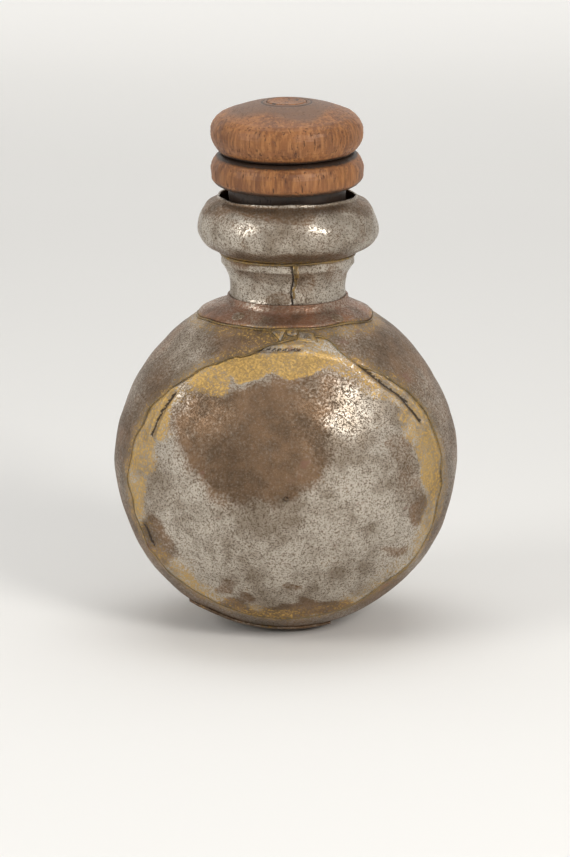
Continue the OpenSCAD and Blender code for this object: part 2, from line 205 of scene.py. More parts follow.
def faceOutward(mesh, merged):
    work = bmesh.new()
    work.from_mesh(mesh)
    if merged:
        bmesh.ops.remove_doubles(work, verts=work.verts, dist=1e-7)
    if work.calc_volume(signed=True) < 0:
        bmesh.ops.reverse_faces(work, faces=work.faces)
    for face in work.faces:
        face.smooth = True
    work.to_mesh(mesh)
    work.free()


def makeMesh(name, points, faces, masks, maskPoints, material):
    mesh = bpy.data.meshes.new(name)
    mesh.from_pydata(inMetres(points).tolist(), [], faces)
    for maskName, rule in masks.items():
        layer = mesh.attributes.new(maskName, "FLOAT", "POINT")
        layer.data.foreach_set("value", np.clip(rule(maskPoints), 0, 1).astype(np.float32))
    faceOutward(mesh, merged=True)
    mesh.materials.append(material)
    return newObject(name, mesh)


def gridFaces(rows, cols, start, wrapCols, flip, wrapRows=False):
    r = np.arange(rows if wrapRows else rows - 1)[:, None]
    c = np.arange(cols if wrapCols else cols - 1)[None, :]
    r2, c2 = (r + 1) % rows, (c + 1) % cols
    quads = np.stack([start + r * cols + c, start + r * cols + c2,
                      start + r2 * cols + c2, start + r2 * cols + c], -1).reshape(-1, 4)
    return (quads[:, ::-1] if flip else quads).tolist()


def wall(first, second, flip):
    count = len(first)
    faces = [[first[i], first[(i + 1) % count], second[(i + 1) % count], second[i]] for i in range(count)]
    return [f[::-1] for f in faces] if flip else faces


def roundSheet(name, outer, inner, masks, material, pole=False):
    # Two skins of rings that go right round, walled at both ends, or closed by a pole in the middle
    rows, cols = outer.shape[:2]
    size = rows * cols
    points = [outer.reshape(-1, 3), inner.reshape(-1, 3)]
    faces = gridFaces(rows, cols, 0, True, False) + gridFaces(rows, cols, size, True, True)
    last = list(range(size - cols, size))
    faces += wall(last, [i + size for i in last], False)
    if pole:
        points += [outer[0].mean(0)[None], inner[0].mean(0)[None]]
        for skin, middle in ((0, 2 * size), (size, 2 * size + 1)):
            for i in range(cols):
                tri = [skin + i, middle, skin + (i + 1) % cols]
                faces.append(tri[::-1] if skin == 0 else tri)
    else:
        first = list(range(cols))
        faces += wall(first, [i + size for i in first], True)
    allPoints = np.concatenate(points)
    return makeMesh(name, allPoints, faces, masks, allPoints, material)


# Materials


def addNode(tree, kind, **settings):
    node = tree.nodes.new(kind)
    for key, value in settings.items():
        setattr(node, key, value)
    return node


def link(tree, first, second):
    tree.links.new(first, second)


def noiseNode(tree, vector, scale, detail=3.0, rough=0.55):
    node = addNode(tree, "ShaderNodeTexNoise")
    node.inputs["Scale"].default_value = scale
    node.inputs["Detail"].default_value = detail
    node.inputs["Roughness"].default_value = rough
    link(tree, vector, node.inputs["Vector"])
    return node.outputs["Fac"]


def mathNode(tree, operation, first, second, clamp=False):
    node = addNode(tree, "ShaderNodeMath", operation=operation, use_clamp=clamp)
    for index, value in enumerate((first, second)):
        if isinstance(value, (int, float)):
            node.inputs[index].default_value = value
        else:
            link(tree, value, node.inputs[index])
    return node.outputs[0]


def times(tree, first, second, clamp=False):
    return mathNode(tree, "MULTIPLY", first, second, clamp)


def plus(tree, first, second):
    return mathNode(tree, "ADD", first, second)


def minus(tree, first, second):
    return mathNode(tree, "SUBTRACT", first, second)


def rampNode(tree, value, low, high):
    node = addNode(tree, "ShaderNodeMapRange", interpolation_type="SMOOTHSTEP")
    node.inputs["From Min"].default_value = low
    node.inputs["From Max"].default_value = high
    link(tree, value, node.inputs["Value"])
    return node.outputs["Result"]


def mixColour(tree, amount, first, second, blend="MIX"):
    node = addNode(tree, "ShaderNodeMix", data_type="RGBA", blend_type=blend)
    for socket, value in ((node.inputs[0], amount), (node.inputs[6], first), (node.inputs[7], second)):
        if isinstance(value, (int, float)):
            socket.default_value = value
        elif isinstance(value, tuple):
            socket.default_value = (*value, 1)
        else:
            link(tree, value, socket)
    return node.outputs[2]


def stretched(tree, vector, factors):
    node = addNode(tree, "ShaderNodeMapping")
    node.inputs["Scale"].default_value = factors
    link(tree, vector, node.inputs["Vector"])
    return node.outputs["Vector"]


def maskNode(tree, name):
    return addNode(tree, "ShaderNodeAttribute", attribute_name=name).outputs["Fac"]


def newMaterial(name):
    material = bpy.data.materials.new(name)
    material.use_nodes = True
    tree = material.node_tree
    place = addNode(tree, "ShaderNodeTexCoord").outputs["Object"]
    return material, tree, tree.nodes["Principled BSDF"], place


def addBump(tree, shader, height, strength, distance):
    bump = addNode(tree, "ShaderNodeBump")
    bump.inputs["Strength"].default_value = strength
    bump.inputs["Distance"].default_value = distance
    link(tree, height, bump.inputs["Height"])
    link(tree, bump.outputs["Normal"], shader.inputs["Normal"])


def newGroup(name, inputs, outputs):
    group = bpy.data.node_groups.new(name, "ShaderNodeTree")
    for socketName, kind, value in inputs:
        socket = group.interface.new_socket(name=socketName, in_out="INPUT", socket_type=kind)
        if value is not None:
            socket.default_value = value
    for socketName, kind in outputs:
        group.interface.new_socket(name=socketName, in_out="OUTPUT", socket_type=kind)
    return group, addNode(group, "NodeGroupInput"), addNode(group, "NodeGroupOutput")


# Old iron: pitted bright metal, brown patina in patches, brass run over it where a mask says
wear = {"cloudScale": 42, "patchScale": 130, "speckScale": 1150, "grainScale": 2300, "rustScale": 95,
        "pit": (0.115, 0.078, 0.050), "dirtAndShade": (0.028, 0.018, 0.013), "rust": (0.16, 0.065, 0.035)}
wornSheet, sheetIn, sheetOut = newGroup(
    "wornSheet",
    [("Vector", "NodeSocketVector", None), ("Brown", "NodeSocketFloat", 0.0),
     ("Gold", "NodeSocketFloat", 0.0), ("Dark", "NodeSocketFloat", 0.0),
     ("Bright", "NodeSocketColor", (0.5, 0.48, 0.45, 1)),
     ("Patina", "NodeSocketColor", (0.2, 0.13, 0.1, 1)),
     ("Brass", "NodeSocketColor", (0.5, 0.36, 0.14, 1)), ("Pitting", "NodeSocketFloat", 1.0)],
    [("Color", "NodeSocketColor"), ("Roughness", "NodeSocketFloat"), ("Height", "NodeSocketFloat"),
     ("Metal", "NodeSocketFloat")])


def fillWornSheet(t):
    at = sheetIn.outputs
    place = at["Vector"]
    cloud = noiseNode(t, place, wear["cloudScale"], 4.0, 0.6)
    patch = noiseNode(t, place, wear["patchScale"], 5.0, 0.65)
    speck = noiseNode(t, place, wear["speckScale"], 5.0, 0.68)
    grain = noiseNode(t, place, wear["grainScale"], 2.0, 0.5)
    blotch = plus(t, times(t, cloud, 0.55), times(t, patch, 0.45))
    ragged = times(t, minus(t, patch, 0.5), 0.8)
    fine = times(t, minus(t, speck, 0.5), 1.9)
    torn = plus(t, ragged, fine)
    brown = rampNode(t, plus(t, at["Brown"], torn), 0.08, 1.02)
    gold = rampNode(t, plus(t, at["Gold"], torn), 0.34, 0.95)
    dark = rampNode(t, plus(t, at["Dark"], fine), 0.40, 0.80)
    pits = rampNode(t, plus(t, times(t, speck, 0.6), times(t, grain, 0.4)), 0.48, 0.60)
    pits = times(t, pits, at["Pitting"], clamp=True)
    silver = mixColour(t, rampNode(t, blotch, 0.38, 0.60), (0.50, 0.455, 0.41), (1.0, 1.0, 1.0))
    silver = mixColour(t, 1.0, at["Bright"], silver, "MULTIPLY")
    tone = mixColour(t, rampNode(t, blotch, 0.38, 0.62), (0.62, 0.58, 0.56), (1.30, 1.16, 1.06))
    patina = mixColour(t, 1.0, at["Patina"], tone, "MULTIPLY")
    patina = mixColour(t, times(t, rampNode(t, grain, 0.56, 0.74), 0.35), patina, at["Bright"])
    colour = mixColour(t, times(t, pits, 0.78), silver, wear["pit"])
    colour = mixColour(t, times(t, brown, 0.94), colour, patina)
    brassTone = mixColour(t, rampNode(t, speck, 0.36, 0.66), (0.42, 0.36, 0.28), (1.12, 1.06, 1.0))
    brass = mixColour(t, 1.0, at["Brass"], brassTone, "MULTIPLY")
    colour = mixColour(t, times(t, gold, 0.86), colour, brass)
    # The dark mask lays painted shade (slits, grooves, under the collar's edge, the neck's foot) and dirt
    # in one dark colour
    colour = mixColour(t, times(t, dark, 0.92), colour, wear["dirtAndShade"])
    rustCloud = noiseNode(t, stretched(t, place, (1.0, 1.0, 1.3)), wear["rustScale"], 3.0, 0.6)
    rust = rampNode(t, rustCloud, 0.66, 0.74)
    colour = mixColour(t, times(t, rust, 0.6), colour, wear["rust"])
    link(t, colour, sheetOut.inputs["Color"])
    rough = plus(t, 0.35, times(t, brown, 0.09))
    rough = plus(t, rough, times(t, pits, 0.24))
    rough = plus(t, rough, times(t, dark, 0.25))
    rough = plus(t, rough, times(t, minus(t, blotch, 0.5), -0.35))
    link(t, rough, sheetOut.inputs["Roughness"])
    height = minus(t, times(t, patch, 0.45), times(t, pits, 0.4))
    height = plus(t, height, times(t, speck, 0.25))
    height = plus(t, height, times(t, gold, 0.25))
    link(t, height, sheetOut.inputs["Height"])
    metal = minus(t, 0.95, times(t, mathNode(t, "MAXIMUM", dark, rust), 0.6))
    link(t, minus(t, metal, times(t, brown, 0.22)), sheetOut.inputs["Metal"])


fillWornSheet(wornSheet)


def metalMaterial(name, look):
    material, t, shader, place = newMaterial(name)
    sheet = addNode(t, "ShaderNodeGroup", node_tree=wornSheet)
    link(t, place, sheet.inputs["Vector"])
    for socket, key in (("Brown", "brownMask"), ("Gold", "goldMask"), ("Dark", "darkMask")):
        if look["masked"]:
            link(t, maskNode(t, key), sheet.inputs[socket])
        else:
            sheet.inputs[socket].default_value = look[socket]
    for socket in ("Bright", "Patina", "Brass"):
        sheet.inputs[socket].default_value = (*look[socket], 1)
    sheet.inputs["Pitting"].default_value = look["pitting"]
    for output, socket in (("Color", "Base Color"), ("Roughness", "Roughness"), ("Metal", "Metallic")):
        link(t, sheet.outputs[output], shader.inputs[socket])
    addBump(t, shader, sheet.outputs["Height"], look["bump"], look["bumpDeep"])
    return material


ironLook = {"Bright": (0.56, 0.505, 0.43), "Patina": (0.150, 0.094, 0.050), "Brass": (0.62, 0.43, 0.150),
            "pitting": 1.0, "bump": 0.55, "bumpDeep": 0.0004, "masked": True}
brassLook = {"Bright": (0.26, 0.21, 0.13), "Patina": (0.10, 0.062, 0.032), "Brass": (0.42, 0.29, 0.105),
             "pitting": 0.8, "bump": 0.7, "bumpDeep": 0.0004, "masked": False, "Brown": 0.36, "Gold": 0.56,
             "Dark": 0.22}
ironMaterial = metalMaterial("hammeredIron", ironLook)
collarMaterial = metalMaterial("collarIron", dict(ironLook, Patina=(0.200, 0.100, 0.055)))
brassMaterial = metalMaterial("brazingBrass", brassLook)


def woodMaterial(name, look):
    material, t, shader, place = newMaterial(name)
    streak = noiseNode(t, stretched(t, place, (1.0, 1.0, 0.11)), look["streakScale"], 3.0, 0.6)
    pores = noiseNode(t, stretched(t, place, (1.0, 1.0, 0.16)), look["poreScale"], 2.0, 0.5)
    pores = rampNode(t, pores, 0.60, 0.70)
    broad = noiseNode(t, stretched(t, place, (1.0, 1.0, 0.4)), look["broadScale"], 4.0, 0.6)
    turned = noiseNode(t, stretched(t, place, (0.25, 0.25, 7.0)), look["turnedScale"], 2.0, 0.5)
    colour = mixColour(t, rampNode(t, broad, 0.32, 0.68), look["deep"], look["warm"])
    colour = mixColour(t, times(t, rampNode(t, streak, 0.40, 0.68), 0.55), colour, look["pale"])
    colour = mixColour(t, times(t, pores, 0.8), colour, look["pore"])
    ragged = plus(t, maskNode(t, "brownMask"), times(t, minus(t, broad, 0.5), 1.2))
    colour = mixColour(t, times(t, rampNode(t, ragged, 0.25, 0.9), 0.75), colour, look["top"])
    # The dark mask lays grime and painted shade: the knob's groove, ring cut and underside, and the peg in
    # the gap under the knob
    grimeAndShadeAmount = plus(t, maskNode(t, "darkMask"), times(t, minus(t, streak, 0.5), 0.8))
    colour = mixColour(t, times(t, rampNode(t, grimeAndShadeAmount, 0.3, 0.85), 0.93), colour, look["grimeAndShade"])
    link(t, colour, shader.inputs["Base Color"])
    rough = plus(t, 0.42, times(t, pores, 0.3))
    link(t, plus(t, rough, times(t, broad, 0.15)), shader.inputs["Roughness"])
    height = minus(t, times(t, turned, 0.35), times(t, pores, 0.7))
    addBump(t, shader, height, look["bump"], look["bumpDeep"])
    return material


woodLook = {"deep": (0.125, 0.042, 0.012), "warm": (0.27, 0.100, 0.026), "pale": (0.44, 0.195, 0.060),
            "pore": (0.05, 0.020, 0.010), "top": (0.115, 0.068, 0.045), "grimeAndShade": (0.012, 0.008, 0.006),
            "streakScale": 900, "poreScale": 1500, "broadScale": 90, "turnedScale": 160, "bump": 0.6,
            "bumpDeep": 0.0003}
stopperWood = woodMaterial("turnedStopperWood", woodLook)
tenonLook = dict(woodLook, deep=(0.14, 0.052, 0.018), warm=(0.27, 0.105, 0.035), top=(0.15, 0.062, 0.026))
tenonWood = woodMaterial("tenonEndGrain", tenonLook)
print("materials ready")

# Where patina, brass, dirt and painted shade lie. A front patch is across, down, half width, half height
# and amount in
# the front view, and a back patch is the same in mm to the right and up

brownPatches = [
    (255, 445, 75, 62, 1.1), (205, 430, 30, 45, 0.6), (300, 400, 45, 30, 0.7),
    (240, 604, 14, 8, 0.8), (223, 585, 9, 7, 0.6), (412, 512, 10, 12, 0.7),
    (395, 550, 12, 8, 0.6), (288, 587, 7, 6, 0.6), (350, 375, 40, 18, 0.5),
    (160, 540, 14, 30, 0.7), (290, 612, 90, 9, 0.9), (404, 470, 16, 36, 0.45)]
goldPatches = [
    (268, 362, 72, 15, 1.0), (205, 380, 22, 20, 0.8), (166, 405, 17, 34, 0.85),
    (146, 445, 12, 34, 0.75), (138, 494, 12, 20, 0.8), (345, 366, 26, 13, 0.6),
    (385, 385, 22, 16, 0.6), (412, 415, 18, 28, 0.65), (432, 462, 13, 44, 0.85),
    (425, 540, 9, 34, 0.6), (400, 584, 22, 9, 0.55), (300, 345, 30, 9, 0.6),
    (420, 430, 12, 20, 0.5), (300, 338, 24, 7, 0.7)]
brownBack = [(20, 14, 26, 20, 0.9), (-26, -12, 20, 26, 0.8), (6, -34, 26, 12, 0.7), (-34, 26, 12, 14, 0.5)]
goldBack = [(4, 42, 30, 6, 0.9), (-38, 30, 12, 10, 0.8), (42, 18, 9, 20, 0.8), (-48, -10, 7, 22, 0.7),
            (30, -38, 18, 7, 0.6), (-18, -46, 20, 5, 0.5)]


def patches(across, down, table):
    total = np.zeros_like(across)
    for px, py, wide, high, amount in table:
        gap = ((across - px) / wide) ** 2 + ((down - py) / high) ** 2
        total = np.maximum(total, amount * (1 - smooth(gap, 0.55, 1.5)))
    return total


def faceMask(points, front, back):
    across, down = inPhoto(points)
    across = across + 4 * waves(points, 26, 21) + 2 * waves(points, 9, 22)
    down = down + 3 * waves(points, 24, 23) + 2 * waves(points, 8, 24)
    frontSide = patches(across, down, front)
    right = points[..., 0] + 7 * waves(points, 24, 25) + 3 * waves(points, 9, 27)
    up = points[..., 2] + 6 * waves(points, 22, 26) + 3 * waves(points, 8, 28)
    backSide = patches(right, up, back)
    facing = smooth(points[..., 1], -6, 6)
    return frontSide * (1 - facing) + backSide * facing


def seamGap(points):
    return ovalDistance(points[..., 0], points[..., 2])


def domeBrown(points):
    return 0.12 + faceMask(points, brownPatches, brownBack)


def domeGold(points):
    edge = 0.46 * (1 - smooth(np.abs(seamGap(points) + 1.5), 1.0, 7.5)) + 0.10 * waves(points, 30, 31)
    return np.maximum(faceMask(points, goldPatches, goldBack), edge)


def domeLineAndSlitShade(points):
    # A broken dark line beside the back seam, and painted shade in the slits in front
    gap = np.abs(seamGap(points) + 3.2 + 1.2 * waves(points, 40, 32))
    behind = 0.85 * (1 - smooth(gap, 0.2, 0.7)) * smooth(waves(points, 36, 33), -0.5, 0.7)
    return behind * smooth(points[..., 1], -6, 6) + 1.15 * (1 - smooth(slitGap(points), 0.8, 2.1))


def bandBrown(points):
    return 0.78 + 0.14 * waves(points, 30, 34)


def bandGold(points):
    near = 0.55 * (1 - smooth(seamGap(points), 1.0, 5.5))
    return near + 0.5 * (1 - smooth(np.abs(points[..., 2] - 55.5), 1, 4.5)) * smooth(points[..., 2], 40, 52)


def bandDark(points):
    # The shadowed line under the collar's edge
    return 0.95 * (1 - smooth(np.abs(points[..., 2] - 56.75), 0.35, 0.95)) * (np.abs(points[..., 0]) < 40)


def nothing(points):
    return np.zeros(len(points))


domeMasks = {"brownMask": domeBrown, "goldMask": domeGold, "darkMask": domeLineAndSlitShade}
bandMasks = {"brownMask": bandBrown, "goldMask": bandGold, "darkMask": bandDark}

# The body's sheets

domeSheet = {"rings": 92, "around": 330, "lift": 0.6, "overlap": 0.35, "tongue": 4.2}


def tongueReach(turn):
    # The dome's sheet laps over the band a little, unevenly, and in one tongue right of the top
    places = np.stack([np.cos(turn) * 40, np.sin(turn) * 40, 0 * turn], -1)
    ragged = domeSheet["overlap"] + 0.35 * waves(places, 22, 41) + 0.22 * waves(places, 8, 42)
    degrees = np.degrees((turn + math.pi) % (2 * math.pi) - math.pi)
    peak = np.where(degrees < 14, smooth(degrees, -14, 14), 1 - smooth(degrees, 14, 27))
    return ragged + domeSheet["tongue"] * peak


def domeSkins(sign):
    turn = fullTurn(domeSheet["around"])
    reach = ovalReach(turn, tongueReach(turn * sign), flask["ovalUp"])
    share = np.linspace(1 / domeSheet["rings"], 1, domeSheet["rings"])[:, None] ** 0.92
    x = share * (reach * np.sin(turn))[None]
    z = flask["ovalUp"] + share * (reach * np.cos(turn))[None]
    gap = ovalDistance(x, z)
    over = smooth(gap, -1.5, 0.6)
    depth = np.minimum(domeDepth(x, z), bandDepth(x, z)) + domeSheet["lift"] * over
    thick = flask["sheet"] * (1 - over) + (domeSheet["lift"] - 0.05) * over
    even = np.stack([x, -sign * depth, z], -1)
    outer = beaten(even)
    return outer, outer - outward(even) * thick[..., None]


def makeDome(name, node, sign):
    outer, inner = domeSkins(sign)
    piece = roundSheet(name, outer, inner, domeMasks, ironMaterial, pole=True)
    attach(piece, "flask")
    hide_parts(node)


makeDome("frontDomeSheet", "front_dome", 1)
makeDome("backDomeSheet", "back_dome", -1)

bandSheet = {"around": 440, "across": 64, "holeR": 21.78, "seamSpace": 0.05, "cutterHigh": 0.03,
             "cutterUp": 0.127}


def flattened(points, lowest):
    points[..., 2] = np.maximum(points[..., 2], lowest)
    return points


def makeBand():
    turn = fullTurn(bandSheet["around"])
    reach = ovalReach(turn, np.full_like(turn, bandSheet["seamSpace"]), 0.0)
    lean = np.arccos(np.clip((reach - flask["ringR"]) / flask["curveR"], -1, 1))
    share = np.linspace(-1, 1, bandSheet["across"])[:, None]
    outer = flattened(bandPoint(turn[None], lean[None] * share), flask["flatZ"])
    inner = flattened(bandPoint(turn[None], lean[None] * share, -flask["sheet"]), flask["flatZ"] + 1)
    piece = roundSheet("sideBandSheet", beaten(outer), beaten(inner), bandMasks, ironMaterial)
    bpy.ops.mesh.primitive_cylinder_add(
        vertices=160, radius=bandSheet["holeR"] * toMetres, depth=bandSheet["cutterHigh"],
        location=(flask["neckX"] * toMetres, 0, bandSheet["cutterUp"]))
    cutter = bpy.context.object
    cut = piece.modifiers.new("neckHole", "BOOLEAN")
    cut.object = cutter
    cut.operation = "DIFFERENCE"
    cut.solver = "EXACT"
    dg = bpy.context.evaluated_depsgraph_get()
    piece.data = bpy.data.meshes.new_from_object(piece.evaluated_get(dg))
    piece.modifiers.clear()
    bpy.data.objects.remove(cutter)
    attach(piece, "flask")
    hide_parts("side_band")


makeBand()
print("body sheets ready")


def openSheet(name, upper, lower, masks, material):
    rows, cols = upper.shape[:2]
    size = rows * cols
    faces = gridFaces(rows, cols, 0, False, False) + gridFaces(rows, cols, size, False, True)
    ring = list(range(cols)) + [r * cols + cols - 1 for r in range(1, rows)]
    ring += [size - 1 - c for c in range(1, cols)] + [r * cols for r in range(rows - 2, 0, -1)]
    faces += wall(ring, [i + size for i in ring], True)
    allPoints = np.concatenate([upper.reshape(-1, 3), lower.reshape(-1, 3)])
    return makeMesh(name, allPoints, faces, masks, allPoints, material)


patchSheet = {"left": -36.0, "right": 17.5, "half": 20.5, "corner": 6.0, "thick": 1.0, "gap": 0.05,
              "uneven": 0.35, "flatZ": -64.4, "upperZ": -63.35}


def makePatch():
    y = np.linspace(-patchSheet["half"], patchSheet["half"], 66)[:, None]
    inset = np.clip(np.abs(y) - patchSheet["half"] + patchSheet["corner"], 0, None)
    share = np.linspace(0, 1, 84)[None]
    along = np.stack([y[:, 0], 0 * y[:, 0], 0 * y[:, 0]], -1)
    uneven = patchSheet["uneven"] * waves(along, 14, 51)[:, None]
    x = (patchSheet["left"] + inset + uneven) * (1 - share) + (patchSheet["right"] - inset + uneven) * share
    yy = y + 0 * x
    lowZ = np.maximum(-bandHeight(x, yy, patchSheet["thick"]), patchSheet["flatZ"])
    highZ = np.maximum(-bandHeight(x, yy, patchSheet["gap"]), patchSheet["upperZ"])
    low, high = np.stack([x, yy, lowZ], -1), np.stack([x, yy, highZ], -1)
    masks = {"brownMask": bandBrown, "goldMask": lambda p: 0.3 * waves(p, 16, 52), "darkMask": nothing}
    piece = openSheet("basePatchSheet", beaten(low), beaten(high), masks, ironMaterial)
    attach(piece, "flask")
    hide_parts("base_patch")


makePatch()

collarSheet = {"edgeZ": 57.27, "thick": 0.9, "innerR": 21.78, "topZ": 63.62, "curveC": 27.68, "curveR": 5.0,
               "curveZ": 63.95, "curveEnd": 244, "uneven": 0.22, "edgeDrop": 0.25, "gap": 0.06,
               "around": 400, "rows": 26}


def collarEdge(turn):
    places = np.stack([np.cos(turn) * 30, np.sin(turn) * 30, 0 * turn], -1)
    target = collarSheet["edgeZ"] + collarSheet["uneven"] * waves(places, 18, 61)
    low, high = np.full_like(turn, 25.0), np.full_like(turn, 40.0)
    for _ in range(34):
        middle = (low + high) / 2
        z = bandHeight(flask["neckX"] + middle * np.sin(turn), -middle * np.cos(turn), collarSheet["thick"])
        low, high = np.where(z > target, middle, low), np.where(z > target, high, middle)
    return low


def makeCollar():
    turn = fullTurn(collarSheet["around"])
    edge = collarEdge(turn)
    c = collarSheet
    wallR = c["curveC"] - math.sqrt(c["curveR"] ** 2 - (c["curveZ"] - c["topZ"]) ** 2)
    swing = np.linspace(math.atan2(c["topZ"] - c["curveZ"], wallR - c["curveC"]) % (2 * math.pi),
                        math.radians(c["curveEnd"]), 12)
    flatTop = [c["innerR"], (c["innerR"] + wallR) / 2]
    ringR = np.concatenate([flatTop, c["curveC"] + c["curveR"] * np.cos(swing)])
    ringZ = np.concatenate([[c["topZ"], c["topZ"] + 0.03], c["curveZ"] + c["curveR"] * np.sin(swing)])
    spread = np.linspace(0, 1, c["rows"])[1:]
    radius = np.concatenate([np.repeat(ringR[:, None], len(turn), 1),
                             ringR[-1] + spread[:, None] * (edge - ringR[-1])[None]])
    filletZ = np.concatenate([ringZ, np.full(len(spread), -99.0)])[:, None]
    x = flask["neckX"] + radius * np.sin(turn)
    y = -radius * np.cos(turn)
    sheetZ = bandHeight(x, y, c["thick"])
    topZ = np.maximum(sheetZ, filletZ + 0 * sheetZ)
    rim = smooth(radius, edge[None] - 0.5, edge[None])
    upper = np.stack([x, y, topZ - c["edgeDrop"] * rim], -1)
    lower = np.stack([x, y, bandHeight(x, y, c["gap"])], -1)
    masks = {
        "brownMask": lambda p: 0.84 + 0.14 * waves(p, 16, 62),
        "goldMask": lambda p: 0.42 * (1 - smooth(p[..., 2], 56.9, 58.2)) + 0.1 * waves(p, 20, 63),
        "darkMask": nothing}
    piece = roundSheet("shoulderCollarSheet", beaten(upper), beaten(lower), masks, collarMaterial)
    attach(piece, "flask")
    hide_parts("shoulder_collar")
    return turn, edge


collarTurn, collarReach = makeCollar()
print("patch and collar ready")

# Cramped tabs and the brass round them; outlines lie flat on the band, to the right and up

tabs = {"at": (0.7, -33.9), "shares": (0.25, 0.5, 0.75, 0.92, 1.0), "rises": (0.6, 0.6, 0.57, 0.5, 0.36),
        "brassOut": (0.0, 0.3, 0.6, 0.9), "brassRises": (0.2, 0.42, 0.34, 0.1), "under": 0.05}
roundTab = [(1.6 + 1.9 * math.cos(a), 2.9 + 1.35 * math.sin(a))
            for a in np.linspace(0, 2 * math.pi, 24)[:-1]]
tabOutlines = [[(-6, 4.2), (-2.6, -0.9), (-0.9, 4.2)], roundTab[::-1],
               [(4.2, 3.4), (3.4, -0.8), (10.8, -0.8), (9.3, 3.4)]]


def onBand(flat, rise):
    lean0 = math.asin(-tabs["at"][1] / flask["curveR"])
    lean = lean0 - flat[..., 1] / flask["curveR"]
    r = flask["ringR"] + flask["curveR"] * np.cos(lean)
    turn = (tabs["at"][0] + flat[..., 0]) / r
    return bandPoint(turn, lean, rise)


def densified(outline, step=0.35):
    points = []
    for i, first in enumerate(outline):
        second = outline[(i + 1) % len(outline)]
        count = max(1, int(math.dist(first, second) / step))
        for k in range(count):
            points.append([first[0] + (second[0] - first[0]) * k / count,
                           first[1] + (second[1] - first[1]) * k / count])
    return np.array(points)


def joined(name, pieces):
    first = pieces[0]
    with bpy.context.temp_override(active_object=first, selected_editable_objects=pieces, object=first):
        bpy.ops.object.join()
    first.name = name
    return first


def makeTabs():
    iron, brass = [], []
    ironMasks = {
        "brownMask": lambda p: 0.45 + 0.2 * waves(p, 5, 71),
        "goldMask": lambda p: 0.62 + 0.2 * waves(p, 4, 72),
        "darkMask": nothing}
    for index, outline in enumerate(tabOutlines):
        edge = densified(outline)
        middle = edge.mean(0)
        share = np.array(tabs["shares"])[:, None, None]
        flat = middle + share * (edge - middle)[None]
        rise = np.array(tabs["rises"])[:, None] + 0 * flat[..., 0]
        top, under = beaten(onBand(flat, rise)), beaten(onBand(flat, tabs["under"]))
        iron.append(roundSheet(f"tab{index}", top, under, ironMasks, ironMaterial, pole=True))
        away = edge - middle
        away = away / np.linalg.norm(away, axis=1, keepdims=True)
        flat = edge[None] + np.array(tabs["brassOut"])[:, None, None] * away[None]
        uneven = waves(np.concatenate([flat, 0 * flat[..., :1]], -1), 2.5, 73 + index)
        rise = np.array(tabs["brassRises"])[:, None] + 0.05 * uneven
        top, under = beaten(onBand(flat, rise)), beaten(onBand(flat, tabs["under"]))
        brass.append(roundSheet(f"brassRound{index}", top, under, {}, brassMaterial))
    ironPiece = joined("crampedTabs", iron)
    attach(ironPiece, "flask")
    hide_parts("cramp_tabs")
    brassPiece = joined("tabBrass", brass)
    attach(brassPiece, "flask")
    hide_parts("tab_braze")


makeTabs()

# Brass beads and rivets, made by Geometry Nodes


def treeSocket(tree, name, kind, value=None):
    socket = tree.interface.new_socket(name=name, in_out="INPUT", socket_type=kind)
    if value is not None:
        socket.default_value = value


def beadTree():
    # A flattened, uneven bead of brass along a path
    tree = bpy.data.node_groups.new("brassBead", "GeometryNodeTree")
    treeSocket(tree, "Geometry", "NodeSocketGeometry")
    treeSocket(tree, "Width", "NodeSocketFloat", 0.0008)
    treeSocket(tree, "Step", "NodeSocketFloat", 0.0006)
    treeSocket(tree, "Unevenness", "NodeSocketFloat", 0.5)
    treeSocket(tree, "Seed", "NodeSocketFloat", 1.0)
    treeSocket(tree, "Material", "NodeSocketMaterial")
    tree.interface.new_socket(name="Geometry", in_out="OUTPUT", socket_type="NodeSocketGeometry")
    inside, outside = addNode(tree, "NodeGroupInput"), addNode(tree, "NodeGroupOutput")
    resample = addNode(tree, "GeometryNodeResampleCurve")
    resample.mode = "LENGTH"
    link(tree, inside.outputs["Geometry"], resample.inputs["Curve"])
    link(tree, inside.outputs["Step"], resample.inputs["Length"])
    noise = addNode(tree, "ShaderNodeTexNoise", noise_dimensions="4D")
    noise.inputs["Scale"].default_value = 220.0
    link(tree, inside.outputs["Seed"], noise.inputs["W"])
    swing = times(tree, minus(tree, noise.outputs["Fac"], 0.5), 3.0)
    swing = times(tree, swing, inside.outputs["Unevenness"])
    radius = times(tree, plus(tree, swing, 1.0), inside.outputs["Width"])
    setRadius = addNode(tree, "GeometryNodeSetCurveRadius")
    link(tree, resample.outputs["Curve"], setRadius.inputs["Curve"])
    link(tree, mathNode(tree, "MAXIMUM", radius, 0.0001), setRadius.inputs["Radius"])
    circle = addNode(tree, "GeometryNodeCurvePrimitiveCircle")
    circle.inputs["Resolution"].default_value = 10
    circle.inputs["Radius"].default_value = 1.0
    sweep = addNode(tree, "GeometryNodeCurveToMesh")
    link(tree, setRadius.outputs["Curve"], sweep.inputs["Curve"])
    link(tree, circle.outputs["Curve"], sweep.inputs["Profile Curve"])
    if "Scale" in sweep.inputs:
        reader = addNode(tree, "GeometryNodeInputRadius")
        link(tree, reader.outputs[0], sweep.inputs["Scale"])
    realize = addNode(tree, "GeometryNodeRealizeInstances")
    link(tree, sweep.outputs["Mesh"], realize.inputs["Geometry"])
    paint = addNode(tree, "GeometryNodeSetMaterial")
    link(tree, realize.outputs["Geometry"], paint.inputs["Geometry"])
    link(tree, inside.outputs["Material"], paint.inputs["Material"])
    link(tree, paint.outputs["Geometry"], outside.inputs["Geometry"])
    return tree


